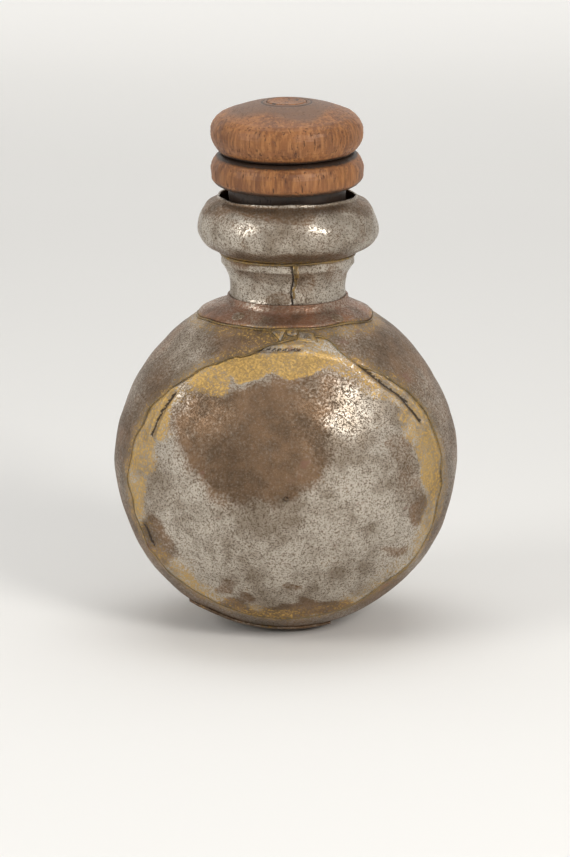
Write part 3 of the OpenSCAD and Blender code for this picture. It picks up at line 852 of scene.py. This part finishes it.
def finishNodes(holder, tree, values, name):
    # Turns what the tree makes into a plain mesh
    modifier = holder.modifiers.new("made", "NODES")
    modifier.node_group = tree
    for item in tree.interface.items_tree:
        if item.item_type == "SOCKET" and item.in_out == "INPUT" and item.name in values:
            modifier[item.identifier] = values[item.name]
    dg = bpy.context.evaluated_depsgraph_get()
    mesh = bpy.data.meshes.new_from_object(holder.evaluated_get(dg), depsgraph=dg)
    bpy.data.objects.remove(holder)
    faceOutward(mesh, merged=False)
    return newObject(name, mesh)


def pathCurve(points):
    data = bpy.data.curves.new("path", "CURVE")
    data.dimensions = "3D"
    spline = data.splines.new("POLY")
    spline.points.add(len(points) - 1)
    weighted = np.concatenate([inMetres(points), np.ones((len(points), 1))], 1)
    spline.points.foreach_set("co", weighted.ravel())
    spline.use_cyclic_u = True
    return newObject("path", data)


brassBead = beadTree()
seamBead = {"Width": 0.00046, "Step": 0.0006, "Unevenness": 0.9, "beyond": 0.15, "proud": 0.08}


def makeBead(name, path, sizes, seed):
    return finishNodes(pathCurve(path), brassBead, dict(sizes, Seed=seed, Material=brassMaterial), name)


def makeSeamBead(name, node, sign, seed):
    turn = fullTurn(520)
    reach = ovalReach(turn, tongueReach(turn * sign) + seamBead["beyond"], flask["ovalUp"])
    x, z = reach * np.sin(turn), flask["ovalUp"] + reach * np.cos(turn)
    depth = np.minimum(domeDepth(x, z), bandDepth(x, z)) + seamBead["proud"]
    piece = makeBead(name, beaten(np.stack([x, -sign * depth, z], -1)), seamBead, seed)
    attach(piece, "flask")
    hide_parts(node)


makeSeamBead("frontSeamBrass", "front_braze", 1, 3.0)
makeSeamBead("backSeamBrass", "back_braze", -1, 8.0)

collarBead = {"Width": 0.00042, "Step": 0.0005, "Unevenness": 0.8, "beyond": 0.35, "proud": 0.12}
collarX = flask["neckX"] + (collarReach + collarBead["beyond"]) * np.sin(collarTurn)
collarY = -(collarReach + collarBead["beyond"]) * np.cos(collarTurn)
collarPath = beaten(np.stack([collarX, collarY, bandHeight(collarX, collarY, collarBead["proud"])], -1))
collarBrass = makeBead("collarBrass", collarPath, collarBead, 5.0)
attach(collarBrass, "flask")
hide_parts("collar_braze")

rivetSizes = {"headR": 2.5, "headHigh": 0.6, "ringR": 27.6, "angle": 41.0, "grip": 1.9, "shankR": 1.3,
              "sunk": 0.1}


def rivetTree():
    tree = bpy.data.node_groups.new("rivetSet", "GeometryNodeTree")
    treeSocket(tree, "Geometry", "NodeSocketGeometry")
    treeSocket(tree, "Head Radius", "NodeSocketFloat", 0.0025)
    treeSocket(tree, "Head Height", "NodeSocketFloat", 0.0006)
    treeSocket(tree, "Shank Radius", "NodeSocketFloat", 0.0013)
    treeSocket(tree, "Grip", "NodeSocketFloat", 0.0019)
    treeSocket(tree, "Material", "NodeSocketMaterial")
    tree.interface.new_socket(name="Geometry", in_out="OUTPUT", socket_type="NodeSocketGeometry")
    inside, outside = addNode(tree, "NodeGroupInput"), addNode(tree, "NodeGroupOutput")
    head = addNode(tree, "GeometryNodeMeshUVSphere")
    head.inputs["Segments"].default_value = 28
    head.inputs["Rings"].default_value = 14
    head.inputs["Radius"].default_value = 1.0
    flat = addNode(tree, "ShaderNodeCombineXYZ")
    for axis in ("X", "Y"):
        link(tree, inside.outputs["Head Radius"], flat.inputs[axis])
    link(tree, inside.outputs["Head Height"], flat.inputs["Z"])
    shaped = addNode(tree, "GeometryNodeTransform")
    link(tree, head.outputs["Mesh"], shaped.inputs["Geometry"])
    link(tree, flat.outputs["Vector"], shaped.inputs["Scale"])
    shank = addNode(tree, "GeometryNodeMeshCylinder")
    shank.inputs["Vertices"].default_value = 20
    link(tree, inside.outputs["Shank Radius"], shank.inputs["Radius"])
    link(tree, inside.outputs["Grip"], shank.inputs["Depth"])
    lower = addNode(tree, "ShaderNodeCombineXYZ")
    link(tree, times(tree, inside.outputs["Grip"], -0.5), lower.inputs["Z"])
    sunk = addNode(tree, "GeometryNodeTransform")
    link(tree, shank.outputs["Mesh"], sunk.inputs["Geometry"])
    link(tree, lower.outputs["Vector"], sunk.inputs["Translation"])
    both = addNode(tree, "GeometryNodeJoinGeometry")
    link(tree, shaped.outputs["Geometry"], both.inputs["Geometry"])
    link(tree, sunk.outputs["Geometry"], both.inputs["Geometry"])
    place = addNode(tree, "GeometryNodeInstanceOnPoints")
    normal = addNode(tree, "GeometryNodeInputNamedAttribute", data_type="FLOAT_VECTOR")
    normal.inputs["Name"].default_value = "away"
    align = addNode(tree, "FunctionNodeAlignRotationToVector", axis="Z")
    link(tree, normal.outputs["Attribute"], align.inputs["Vector"])
    link(tree, inside.outputs["Geometry"], place.inputs["Points"])
    link(tree, both.outputs["Geometry"], place.inputs["Instance"])
    link(tree, align.outputs["Rotation"], place.inputs["Rotation"])
    realize = addNode(tree, "GeometryNodeRealizeInstances")
    link(tree, place.outputs["Instances"], realize.inputs["Geometry"])
    paint = addNode(tree, "GeometryNodeSetMaterial")
    link(tree, realize.outputs["Geometry"], paint.inputs["Geometry"])
    link(tree, inside.outputs["Material"], paint.inputs["Material"])
    link(tree, paint.outputs["Geometry"], outside.inputs["Geometry"])
    return tree


def makeRivets():
    places, aways = [], []
    for side in (-1, 1):
        for face in (-1, 1):
            angle = math.radians(rivetSizes["angle"])
            x = flask["neckX"] + side * rivetSizes["ringR"] * math.sin(angle)
            y = face * rivetSizes["ringR"] * math.cos(angle)
            lean = math.asin(-y / flask["curveR"])
            turn = math.asin(x / (flask["ringR"] + flask["curveR"] * math.cos(lean)))
            level = math.cos(lean)
            away = np.array([level * math.sin(turn), -math.sin(lean), level * math.cos(turn)])
            foot = bandPoint(np.array([turn]), np.array([lean]), collarSheet["thick"] - rivetSizes["sunk"])
            places.append(beaten(foot)[0])
            aways.append(away)
    mesh = bpy.data.meshes.new("rivetPoints")
    mesh.from_pydata(inMetres(np.array(places)).tolist(), [], [])
    layer = mesh.attributes.new("away", "FLOAT_VECTOR", "POINT")
    layer.data.foreach_set("vector", np.array(aways, np.float32).ravel())
    holder = newObject("rivetPoints", mesh)
    values = {"Material": rivetIron}
    for socket, key in (("Head Radius", "headR"), ("Head Height", "headHigh"),
                        ("Shank Radius", "shankR"), ("Grip", "grip")):
        values[socket] = rivetSizes[key] * toMetres
    piece = finishNodes(holder, rivetTree(), values, "collarRivets")
    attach(piece, "flask")
    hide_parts("collar_rivets")


rivetLook = dict(ironLook, masked=False, Brown=0.78, Gold=0.12, Dark=0.1)
rivetIron = metalMaterial("rivetIron", rivetLook)
makeRivets()
print("brass beads and rivets ready")

# Neck and mouth

neckSizes = {"waistZ": 66.32, "waistR": 21.5, "curveR": 16.0, "seatZ": 76.05, "topR": 24.8, "topZ": 80.62,
             "footZ": 58.74, "footR": 21.73, "joinZ": 63.62, "thick": 1.0, "around": 620}


def waistCurve(z):
    n = neckSizes
    up = np.clip(z - n["waistZ"], n["joinZ"] - n["waistZ"], n["seatZ"] - n["waistZ"])
    return n["waistR"] + n["curveR"] - np.sqrt(n["curveR"] ** 2 - up ** 2)


def turnedAbout(profileR, profileZ, turn, centreX):
    x = centreX + profileR * np.sin(turn)
    y = -profileR * np.cos(turn)
    return np.stack([x, y, profileZ + 0 * turn], -1)


def seamOffset(z):
    share = (z - neckSizes["footZ"]) / (neckSizes["topZ"] - neckSizes["footZ"])
    return 1.9 + 1.3 * share + 0.35 * np.sin(z * 0.62), 0.9 + 1.5 * share


# Dents in the neck and mouth are right, up, half width, half height and depth, all in mm
neckDents = [(5.4, 70.5, 2.6, 4.2, -0.9), (-9, 67, 6, 3, -0.4)]
mouthDents = [(0, 89, 7, 5, -0.8), (-14, 84, 7, 4, -0.5), (16, 93, 8, 4, 0.4), (-22, 92, 6, 5, -0.6),
              (20, 85, 5, 4, -0.5)]


def pressed(across, up, table):
    total = np.zeros_like(across)
    for right, middleUp, wide, high, depth in table:
        total += depth * np.exp(-((across - right) / wide) ** 2 - ((up - middleUp) / high) ** 2)
    return total


def neckRelief(points):
    # The lap seam stands a little proud, with a groove down its left side
    away = 0.16 * waves(points, 12, 81) + 0.07 * waves(points, 5, 82)
    middle, width = seamOffset(points[..., 2])
    across = points[..., 0] - flask["neckX"]
    front = smooth(-points[..., 1], 10, 14)
    edge = across - (middle - width / 2)
    lap = smooth(edge, -0.15, 0.15) * (1 - smooth(across - middle - width / 2, 0, 2.2))
    line = np.exp(-((edge + 0.15) / 0.28) ** 2)
    away = away + front * (0.32 * lap - 0.55 * line * smooth(points[..., 2], 62, 64))
    away = away + front * pressed(across, points[..., 2], neckDents)
    return away * smooth(points[..., 2], 63.3, 64.5)


def pushedOut(points, away, centreX=flask["neckX"]):
    radial = (points - np.array([centreX, 0, 0])) * np.array([1, 1, 0])
    radial = radial / np.maximum(np.linalg.norm(radial, axis=-1, keepdims=True), 1e-6)
    return points + radial * away[..., None]


def neckSeamAndFootShade(points):
    # Painted shade in the groove down the lap seam's left side, and at the neck's foot where it meets the
    # collar
    middle, width = seamOffset(points[..., 2])
    edge = points[..., 0] - flask["neckX"] - middle + width / 2
    line = np.exp(-((edge + 0.1) / 0.35) ** 2) * smooth(-points[..., 1], 10, 14)
    return 1.3 * line + 0.5 * (1 - smooth(points[..., 2], 63.5, 64.6))


neckSpots = [(306, 284, 10, 12, 0.62), (279, 299, 14, 7, 0.6), (240, 262, 10, 14, 0.6),
             (336, 275, 12, 8, 0.5), (300, 262, 8, 5, 0.7)]


def neckBrown(points):
    across, down = inPhoto(points)
    spots = patches(across, down, neckSpots)
    facing = smooth(points[..., 1], -6, 6)
    under = 0.4 * smooth(points[..., 2], 76.5, 79)
    return 0.03 + spots * (1 - facing) + 0.10 * waves(points, 14, 83) + under


def neckGold(points):
    middle, width = seamOffset(points[..., 2])
    across = points[..., 0] - flask["neckX"] - middle
    wedge = (1 - smooth(np.abs(across), width / 2, width / 2 + 0.5)) * smooth(-points[..., 1], 10, 14)
    return 0.62 * wedge * smooth(points[..., 2], 70, 74) + 0.3 * smooth(points[..., 2], 78.2, 79.6)


def makeNeck():
    n = neckSizes
    turn = fullTurn(n["around"])[None]
    z = np.concatenate([np.linspace(n["footZ"], n["joinZ"], 6),
                        np.linspace(n["joinZ"] + 0.3, n["topZ"], 52)])
    hollow = waistCurve(z)
    r = np.where(z < n["joinZ"] + 0.1, n["footR"], np.where(z > n["seatZ"], n["topR"], hollow))
    outer = turnedAbout(r[:, None], z[:, None], turn, flask["neckX"])
    inner = turnedAbout(r[:, None] - n["thick"], z[:, None], turn, flask["neckX"])
    away = neckRelief(outer)
    masks = {"brownMask": neckBrown, "goldMask": neckGold, "darkMask": neckSeamAndFootShade}
    softer = np.clip(away, -0.3, 0.2)
    outer, inner = pushedOut(outer, away), pushedOut(inner, softer)
    piece = roundSheet("neckTubeSheet", outer, inner, masks, ironMaterial)
    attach(piece, "flask")
    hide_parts("neck_tube")


def makeLapBrass():
    z = np.linspace(66, 79.4, 60)[:, None]
    middle, width = seamOffset(z)
    share = np.linspace(-0.5, 0.5, 9)[None]
    across = middle + share * width * 0.62 + 0.12 * width * np.sin(z * 1.7)
    r = waistCurve(z)
    turn = np.arcsin(across / r)
    base = turnedAbout(r + 0 * turn, z, turn, flask["neckX"])
    away = neckRelief(base)
    crown = 0.22 * (1 - (2 * share) ** 2) + 0.04 + 0.04 * waves(base, 2.2, 84)
    upper, lower = pushedOut(base, away + crown), pushedOut(base, away - 0.25)
    piece = openSheet("lapSeamBrass", upper, lower, {}, brassMaterial)
    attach(piece, "flask")
    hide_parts("neck_seam_braze")


makeNeck()
makeLapBrass()

mouthSizes = {"lipR": 24.9, "lipZ": 79.72, "lowC": 25.8, "lowR": 8.2, "wideZ": 89.52, "highC": 22.3,
              "highR": 11.7, "topZ": 99.92, "rimR": 26.3, "rimZ": 101.52, "thick": 0.9, "around": 460}


def mouthProfile(inset):
    m = mouthSizes
    reach = math.hypot(m["lipR"] - m["lowC"], m["wideZ"] - m["lipZ"])
    slope = math.atan2(m["wideZ"] - m["lipZ"], m["lowC"] - m["lipR"]) - math.asin(m["lowR"] / reach)
    lowR, highR = m["lowR"] - inset, m["highR"] - inset
    start = slope - math.pi / 2
    lip = (m["lipR"] - inset * math.sin(slope), m["lipZ"] + inset * math.cos(slope))
    lowArc = np.linspace(start, 0, 26)
    first = (m["lowC"] + lowR * math.cos(start), m["wideZ"] + lowR * math.sin(start))
    run = np.linspace(0, 1, 8)[:-1]
    r = [lip[0] + (first[0] - lip[0]) * run, m["lowC"] + lowR * np.cos(lowArc)]
    z = [lip[1] + (first[1] - lip[1]) * run, m["wideZ"] + lowR * np.sin(lowArc)]
    topAngle = math.asin((m["topZ"] - inset - m["wideZ"]) / highR)
    highArc = np.linspace(0, topAngle, 28)[1:]
    r.append(m["highC"] + highR * np.cos(highArc))
    z.append(m["wideZ"] + highR * np.sin(highArc))
    endR, endZ = r[-1][-1], z[-1][-1]
    rise = np.linspace(0, 1, 8)[1:]
    rimR, rimZ = m["rimR"] - inset * 0.75, m["rimZ"]
    bend = np.sin(rise * math.pi) * 0.35
    r.append(endR + (rimR - endR) * rise - bend)
    z.append(endZ + (rimZ - endZ) * rise - bend * 0.3)
    return np.concatenate(r), np.concatenate(z)


def mouthRelief(points):
    away = 0.20 * waves(points, 16, 91) + 0.09 * waves(points, 6, 92)
    away = away + smooth(-points[..., 1], 4, 12) * pressed(points[..., 0], points[..., 2], mouthDents)
    return away * smooth(points[..., 2], 80, 82)


def mouthWaviness(points):
    turn = np.arctan2(points[..., 0] - flask["neckX"], -points[..., 1])
    lift = 0.34 * np.sin(2 * turn + 0.5) + 0.24 * np.sin(5 * turn + 1.9) + 0.13 * np.sin(9 * turn + 0.4)
    return lift * smooth(points[..., 2], 98.5, 101.3)


def mouthBrown(points):
    high = points[..., 2] + 1.0 * waves(points, 15, 93)
    top = 0.85 * smooth(high, 94.5, 98.5)
    low = 0.8 * (1 - smooth(high, 82.5, 86.0))
    rim = smooth(points[..., 2], 100.6, 101.3)
    return np.maximum(np.maximum(top, low) * (1 - 0.7 * rim), 0.16 + 0.14 * waves(points, 9, 94))


def mouthGold(points):
    turn = np.arctan2(points[..., 0] - flask["neckX"], -points[..., 1])
    where = 1 - smooth(np.abs(turn + 0.25), 0.4, 0.9)
    return (0.25 + 0.4 * where) * (1 - smooth(points[..., 2], 80.2, 81.8))


def makeMouth():
    turn = fullTurn(mouthSizes["around"])[None]
    r, z = mouthProfile(0)
    ri, zi = mouthProfile(mouthSizes["thick"])
    outer = turnedAbout(r[:, None], z[:, None], turn, flask["neckX"])
    inner = turnedAbout(ri[:, None], zi[:, None], turn, flask["neckX"])
    wavy = mouthWaviness(outer)
    away = mouthRelief(outer) + 0.5 * wavy
    outer, inner = pushedOut(outer, away), pushedOut(inner, away)
    outer[..., 2] += wavy
    inner[..., 2] += wavy
    masks = {"brownMask": mouthBrown, "goldMask": mouthGold, "darkMask": nothing}
    piece = roundSheet("mouthBulbSheet", outer, inner, masks, ironMaterial)
    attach(piece, "flask")
    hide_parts("mouth_bulb")


makeMouth()
mouthBead = {"Width": 0.00055, "Step": 0.0006, "Unevenness": 0.9, "ringR": 25.0, "upZ": 79.35, "wavy": 0.18}
ringTurn = fullTurn(300)
ringZ = mouthBead["upZ"] + mouthBead["wavy"] * np.sin(3 * ringTurn)
mouthPath = turnedAbout(mouthBead["ringR"] + 0 * ringTurn, ringZ, ringTurn, flask["neckX"])
mouthBrass = makeBead("mouthJointBrass", mouthPath, mouthBead, 12.0)
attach(mouthBrass, "flask")
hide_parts("mouth_braze")
print("neck and mouth ready")

# Stopper; the knob's heights are above its underside, and the peg's above the point it leans about

stopper = {"pivotZ": 66.32, "lean": 3.2, "tilt": 0.35, "knobUp": 40.2, "knobH": 31.0, "knobDomeR": 61.2,
           "tenonR": 7.3, "tenonRingR": 9.2, "pegLow": -1.2, "pegFootR": 19.98, "pegHeadR": 22.1,
           "around": 380}


def leaning(points):
    turn = Matrix.Rotation(math.radians(-stopper["tilt"]), 3, "Y") @ Matrix.Rotation(
        math.radians(stopper["lean"]), 3, "X")
    m = np.array(turn)
    return points @ m.T + np.array([flask["neckX"], 0, stopper["pivotZ"]])


def arcPoints(centre, radius, start, end, count):
    angle = np.radians(np.linspace(start, end, count))
    return list(zip(centre[0] + radius * np.cos(angle), centre[1] + radius * np.sin(angle)))


def knobProfile():
    hole = stopper["tenonR"] + 0.1
    points = [(hole, 0.0), (14, 0.0), (20, 0.0), (24, 0.0)]
    points += arcPoints((25.2, 3.2), 3.2, -88, 0, 14)
    points += arcPoints((21.4, 5.2), 7.0, 2, 62, 22)
    points += [(23.3, 11.45), (23.05, 11.6), (23.2, 11.8)]
    points += arcPoints((18.8, 19.6), 9.6, -52, -2, 24)
    points += arcPoints((21.4, 19.6), 7.0, 0, 66, 24)
    domeR, domeC = stopper["knobDomeR"], stopper["knobH"] - stopper["knobDomeR"]
    for v in np.linspace(24.1, hole + 0.35, 34):
        ringCut = 0.25 * math.exp(-((v - stopper["tenonRingR"]) / 0.35) ** 2)
        points.append((v, domeC + math.sqrt(domeR ** 2 - v ** 2) - ringCut))
    points += [(hole, 30.1), (hole, 29.2), (hole, 15.0), (hole, 4.0)]
    return np.array(points)


def pegProfile():
    low, seat, top = stopper["pegLow"], stopper["knobUp"], stopper["knobUp"] + stopper["knobH"]
    footR, headR, tenonR = stopper["pegFootR"], stopper["pegHeadR"], stopper["tenonR"]
    points = [(4, low), (12, low), (footR - 0.58, low), (footR - 0.28, low + 0.05), (footR, low + 0.6)]
    for t in np.linspace(0.03, 1, 40):
        points.append((footR + (headR - footR) * t, low + 0.6 + (seat - low - 0.7) * t))
    points += [(headR - 0.1, seat - 0.05), (14, seat - 0.05), (tenonR + 0.3, seat - 0.05), (tenonR, seat)]
    points += [(tenonR, seat + (stopper["knobH"] - 0.9) * t) for t in np.linspace(0.1, 0.97, 12)]
    points += [(7.2, top - 0.5), (6.6, top - 0.32), (6.0, top - 0.42), (4.5, top - 0.72), (3, top - 0.6)]
    points += [(1.4, top - 0.8)]
    return np.array(points)


def ringPiece(name, profile, up, relief, masks, material, poles):
    turn = fullTurn(stopper["around"])[None]
    upright = turnedAbout(profile[:, :1], profile[:, 1:] + up, turn, 0.0)
    shaped = pushedOut(upright, relief(upright), 0.0)
    rows, cols = shaped.shape[:2]
    faces = gridFaces(rows, cols, 0, True, False, wrapRows=not poles)
    points, original = shaped.reshape(-1, 3), upright.reshape(-1, 3)
    if poles:
        ends = np.array([[0, 0, profile[0, 1] + up], [0, 0, profile[-1, 1] + up]])
        points, original = np.concatenate([points, ends]), np.concatenate([original, ends])
        size = rows * cols
        faces += [[(i + 1) % cols, i, size] for i in range(cols)]
        faces += [[size - cols + i, size - cols + (i + 1) % cols, size + 1] for i in range(cols)]
    return makeMesh(name, leaning(points), faces, masks, original, material)


def knobRelief(points):
    u = points[..., 2] - stopper["knobUp"]
    chips = 0.10 * waves(points, 14, 101) + 0.05 * waves(points, 4, 102)
    rings = 0.05 * np.sin(u * 5.2) * smooth(u, 1, 4)
    edge = np.hypot(points[..., 0], points[..., 1])
    return (chips + rings) * smooth(edge, 9, 16)


def knobShade(points):
    # Painted shade: in the groove between the beads, in the ring cut round the tenon, and on the knob's
    # underside
    u = points[..., 2] - stopper["knobUp"]
    edge = np.hypot(points[..., 0], points[..., 1])
    groove = np.exp(-((u - 11.6) / 1.5) ** 2) * smooth(edge, 20, 22)
    ring = 0.8 * np.exp(-((edge - stopper["tenonRingR"]) / 0.6) ** 2) * smooth(u, 25, 28)
    under = 0.75 * (1 - smooth(u, 0.6, 3.2))
    return groove * 1.25 + ring + under + 0.06 * waves(points, 12, 103)


def knobTop(points):
    u = points[..., 2] - stopper["knobUp"]
    high = smooth(u + 0.8 * waves(points, 18, 104), 25.0, 29.5)
    return 0.85 * high + 0.35 * np.exp(-((u - 12) / 4) ** 2)


def pegRelief(points):
    return 0.06 * waves(points, 15, 107) * (1 - smooth(points[..., 2], 36, 39))


def pegGrimeAndGapShade(points):
    # Grime on the tenon's end, and painted shade on the peg in the gap under the knob
    end = 0.10 + 0.3 * waves(points, 3.0, 105) * smooth(points[..., 2], 68, 70)
    return end + 1.2 * smooth(points[..., 2], 31, 36) * (1 - smooth(points[..., 2], 44, 50))


def pegWorn(points):
    return 0.15 + 0.1 * waves(points, 6, 106)


def makeStopper():
    masks = {"darkMask": knobShade, "brownMask": knobTop}
    knob = ringPiece("stopperKnobTurned", knobProfile(), stopper["knobUp"], knobRelief, masks,
                     stopperWood, False)
    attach(knob, "stopper")
    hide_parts("stopper_knob")
    masks = {"darkMask": pegGrimeAndGapShade, "brownMask": pegWorn}
    peg = ringPiece("stopperPegTurned", pegProfile(), 0.0, pegRelief, masks, tenonWood, True)
    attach(peg, "stopper")
    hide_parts("stopper_peg")


makeStopper()
print("stopper ready")

# Floor, light and camera

studio = {
    "floor": (0.83, 0.818, 0.792),
    "pale": (0.84, 0.825, 0.795),
    "shade": (0.62, 0.62, 0.62),
    "airStrength": 0.62,
    "aim": (0, 0, 0.1),
    "lamps": [
        ("softboxRight", (0.80, -1.05, 0.80), (0.45, 0.45), 11.5, (1.0, 0.98, 0.95)),
        ("softboxLeft", (-1.1, -0.6, 0.75), (0.6, 0.8), 6.5, (1.0, 0.99, 0.97)),
        ("softboxTop", (0.0, 0.3, 1.6), (1.4, 1.0), 9.5, (1, 1, 1))],
}


def makeSweep():
    points = []
    line = [(-3.0, 0.0), (1.6, 0.0)]
    line += [(1.6 + 1.2 * math.sin(a), 1.2 - 1.2 * math.cos(a)) for a in np.linspace(0.1, math.pi / 2, 16)]
    line += [(2.8, 4.0)]
    for y, z in line:
        points += [(-6, y, z), (6, y, z)]
    faces = [(2 * i, 2 * i + 1, 2 * i + 3, 2 * i + 2) for i in range(len(line) - 1)]
    mesh = bpy.data.meshes.new("studioSweep")
    mesh.from_pydata(points, [], faces)
    for face in mesh.polygons:
        face.use_smooth = True
    sweep = newObject("studioSweep", mesh)
    material, t, shader, place = newMaterial("studioPaper")
    shader.inputs["Roughness"].default_value = 0.8
    shader.inputs["Specular IOR Level"].default_value = 0.2
    tint = mixColour(t, rampNode(t, noiseNode(t, place, 1.4, 2.0), 0.3, 0.7), studio["floor"],
                     tuple(v * 1.02 for v in studio["floor"]))
    link(t, tint, shader.inputs["Base Color"])
    # The far backdrop stays pale to the camera
    split = addNode(t, "ShaderNodeSeparateXYZ")
    link(t, place, split.inputs["Vector"])
    far = rampNode(t, split.outputs["Y"], 0.2, 3.2)
    paths = addNode(t, "ShaderNodeLightPath").outputs
    seen = mathNode(t, "MAXIMUM", paths["Is Camera Ray"], paths["Is Glossy Ray"])
    shader.inputs["Emission Color"].default_value = (*studio["pale"], 1)
    link(t, times(t, times(t, far, seen), 0.85), shader.inputs["Emission Strength"])
    mesh.materials.append(material)


def areaLamp(name, place, size, power, colour):
    data = bpy.data.lights.new(name, "AREA")
    data.shape = "RECTANGLE"
    data.size, data.size_y = size
    data.energy = power
    data.color = colour
    lamp = newObject(name, data)
    lamp.location = place
    lamp.rotation_euler = (Vector(studio["aim"]) - Vector(place)).to_track_quat("-Z", "Y").to_euler()


def makeStudio():
    makeSweep()
    for lamp in studio["lamps"]:
        areaLamp(*lamp)
    world = bpy.data.worlds.new("studioAir")
    scene.world = world
    world.use_nodes = True
    t = world.node_tree
    background = t.nodes["Background"]
    paths = addNode(t, "ShaderNodeLightPath").outputs
    seen = mathNode(t, "MAXIMUM", paths["Is Camera Ray"], paths["Is Glossy Ray"])
    seen = mathNode(t, "MAXIMUM", seen, paths["Is Transmission Ray"])
    link(t, mixColour(t, seen, studio["shade"], studio["pale"]), background.inputs["Color"])
    background.inputs["Strength"].default_value = studio["airStrength"]


makeStudio()

cameraData = bpy.data.cameras.new("photoCamera")
cameraData.lens = view["lens"]
cameraData.sensor_width = view["sensor"]
cameraData.sensor_fit = "AUTO"
cameraData.clip_end = 50
camera = newObject("photoCamera", cameraData)
camera.location = view["place"]
camera.rotation_euler = (math.radians(90 - view["pitch"]), 0, 0)
scene.camera = camera
scene.view_settings.view_transform = "Standard"

print("scene ready")
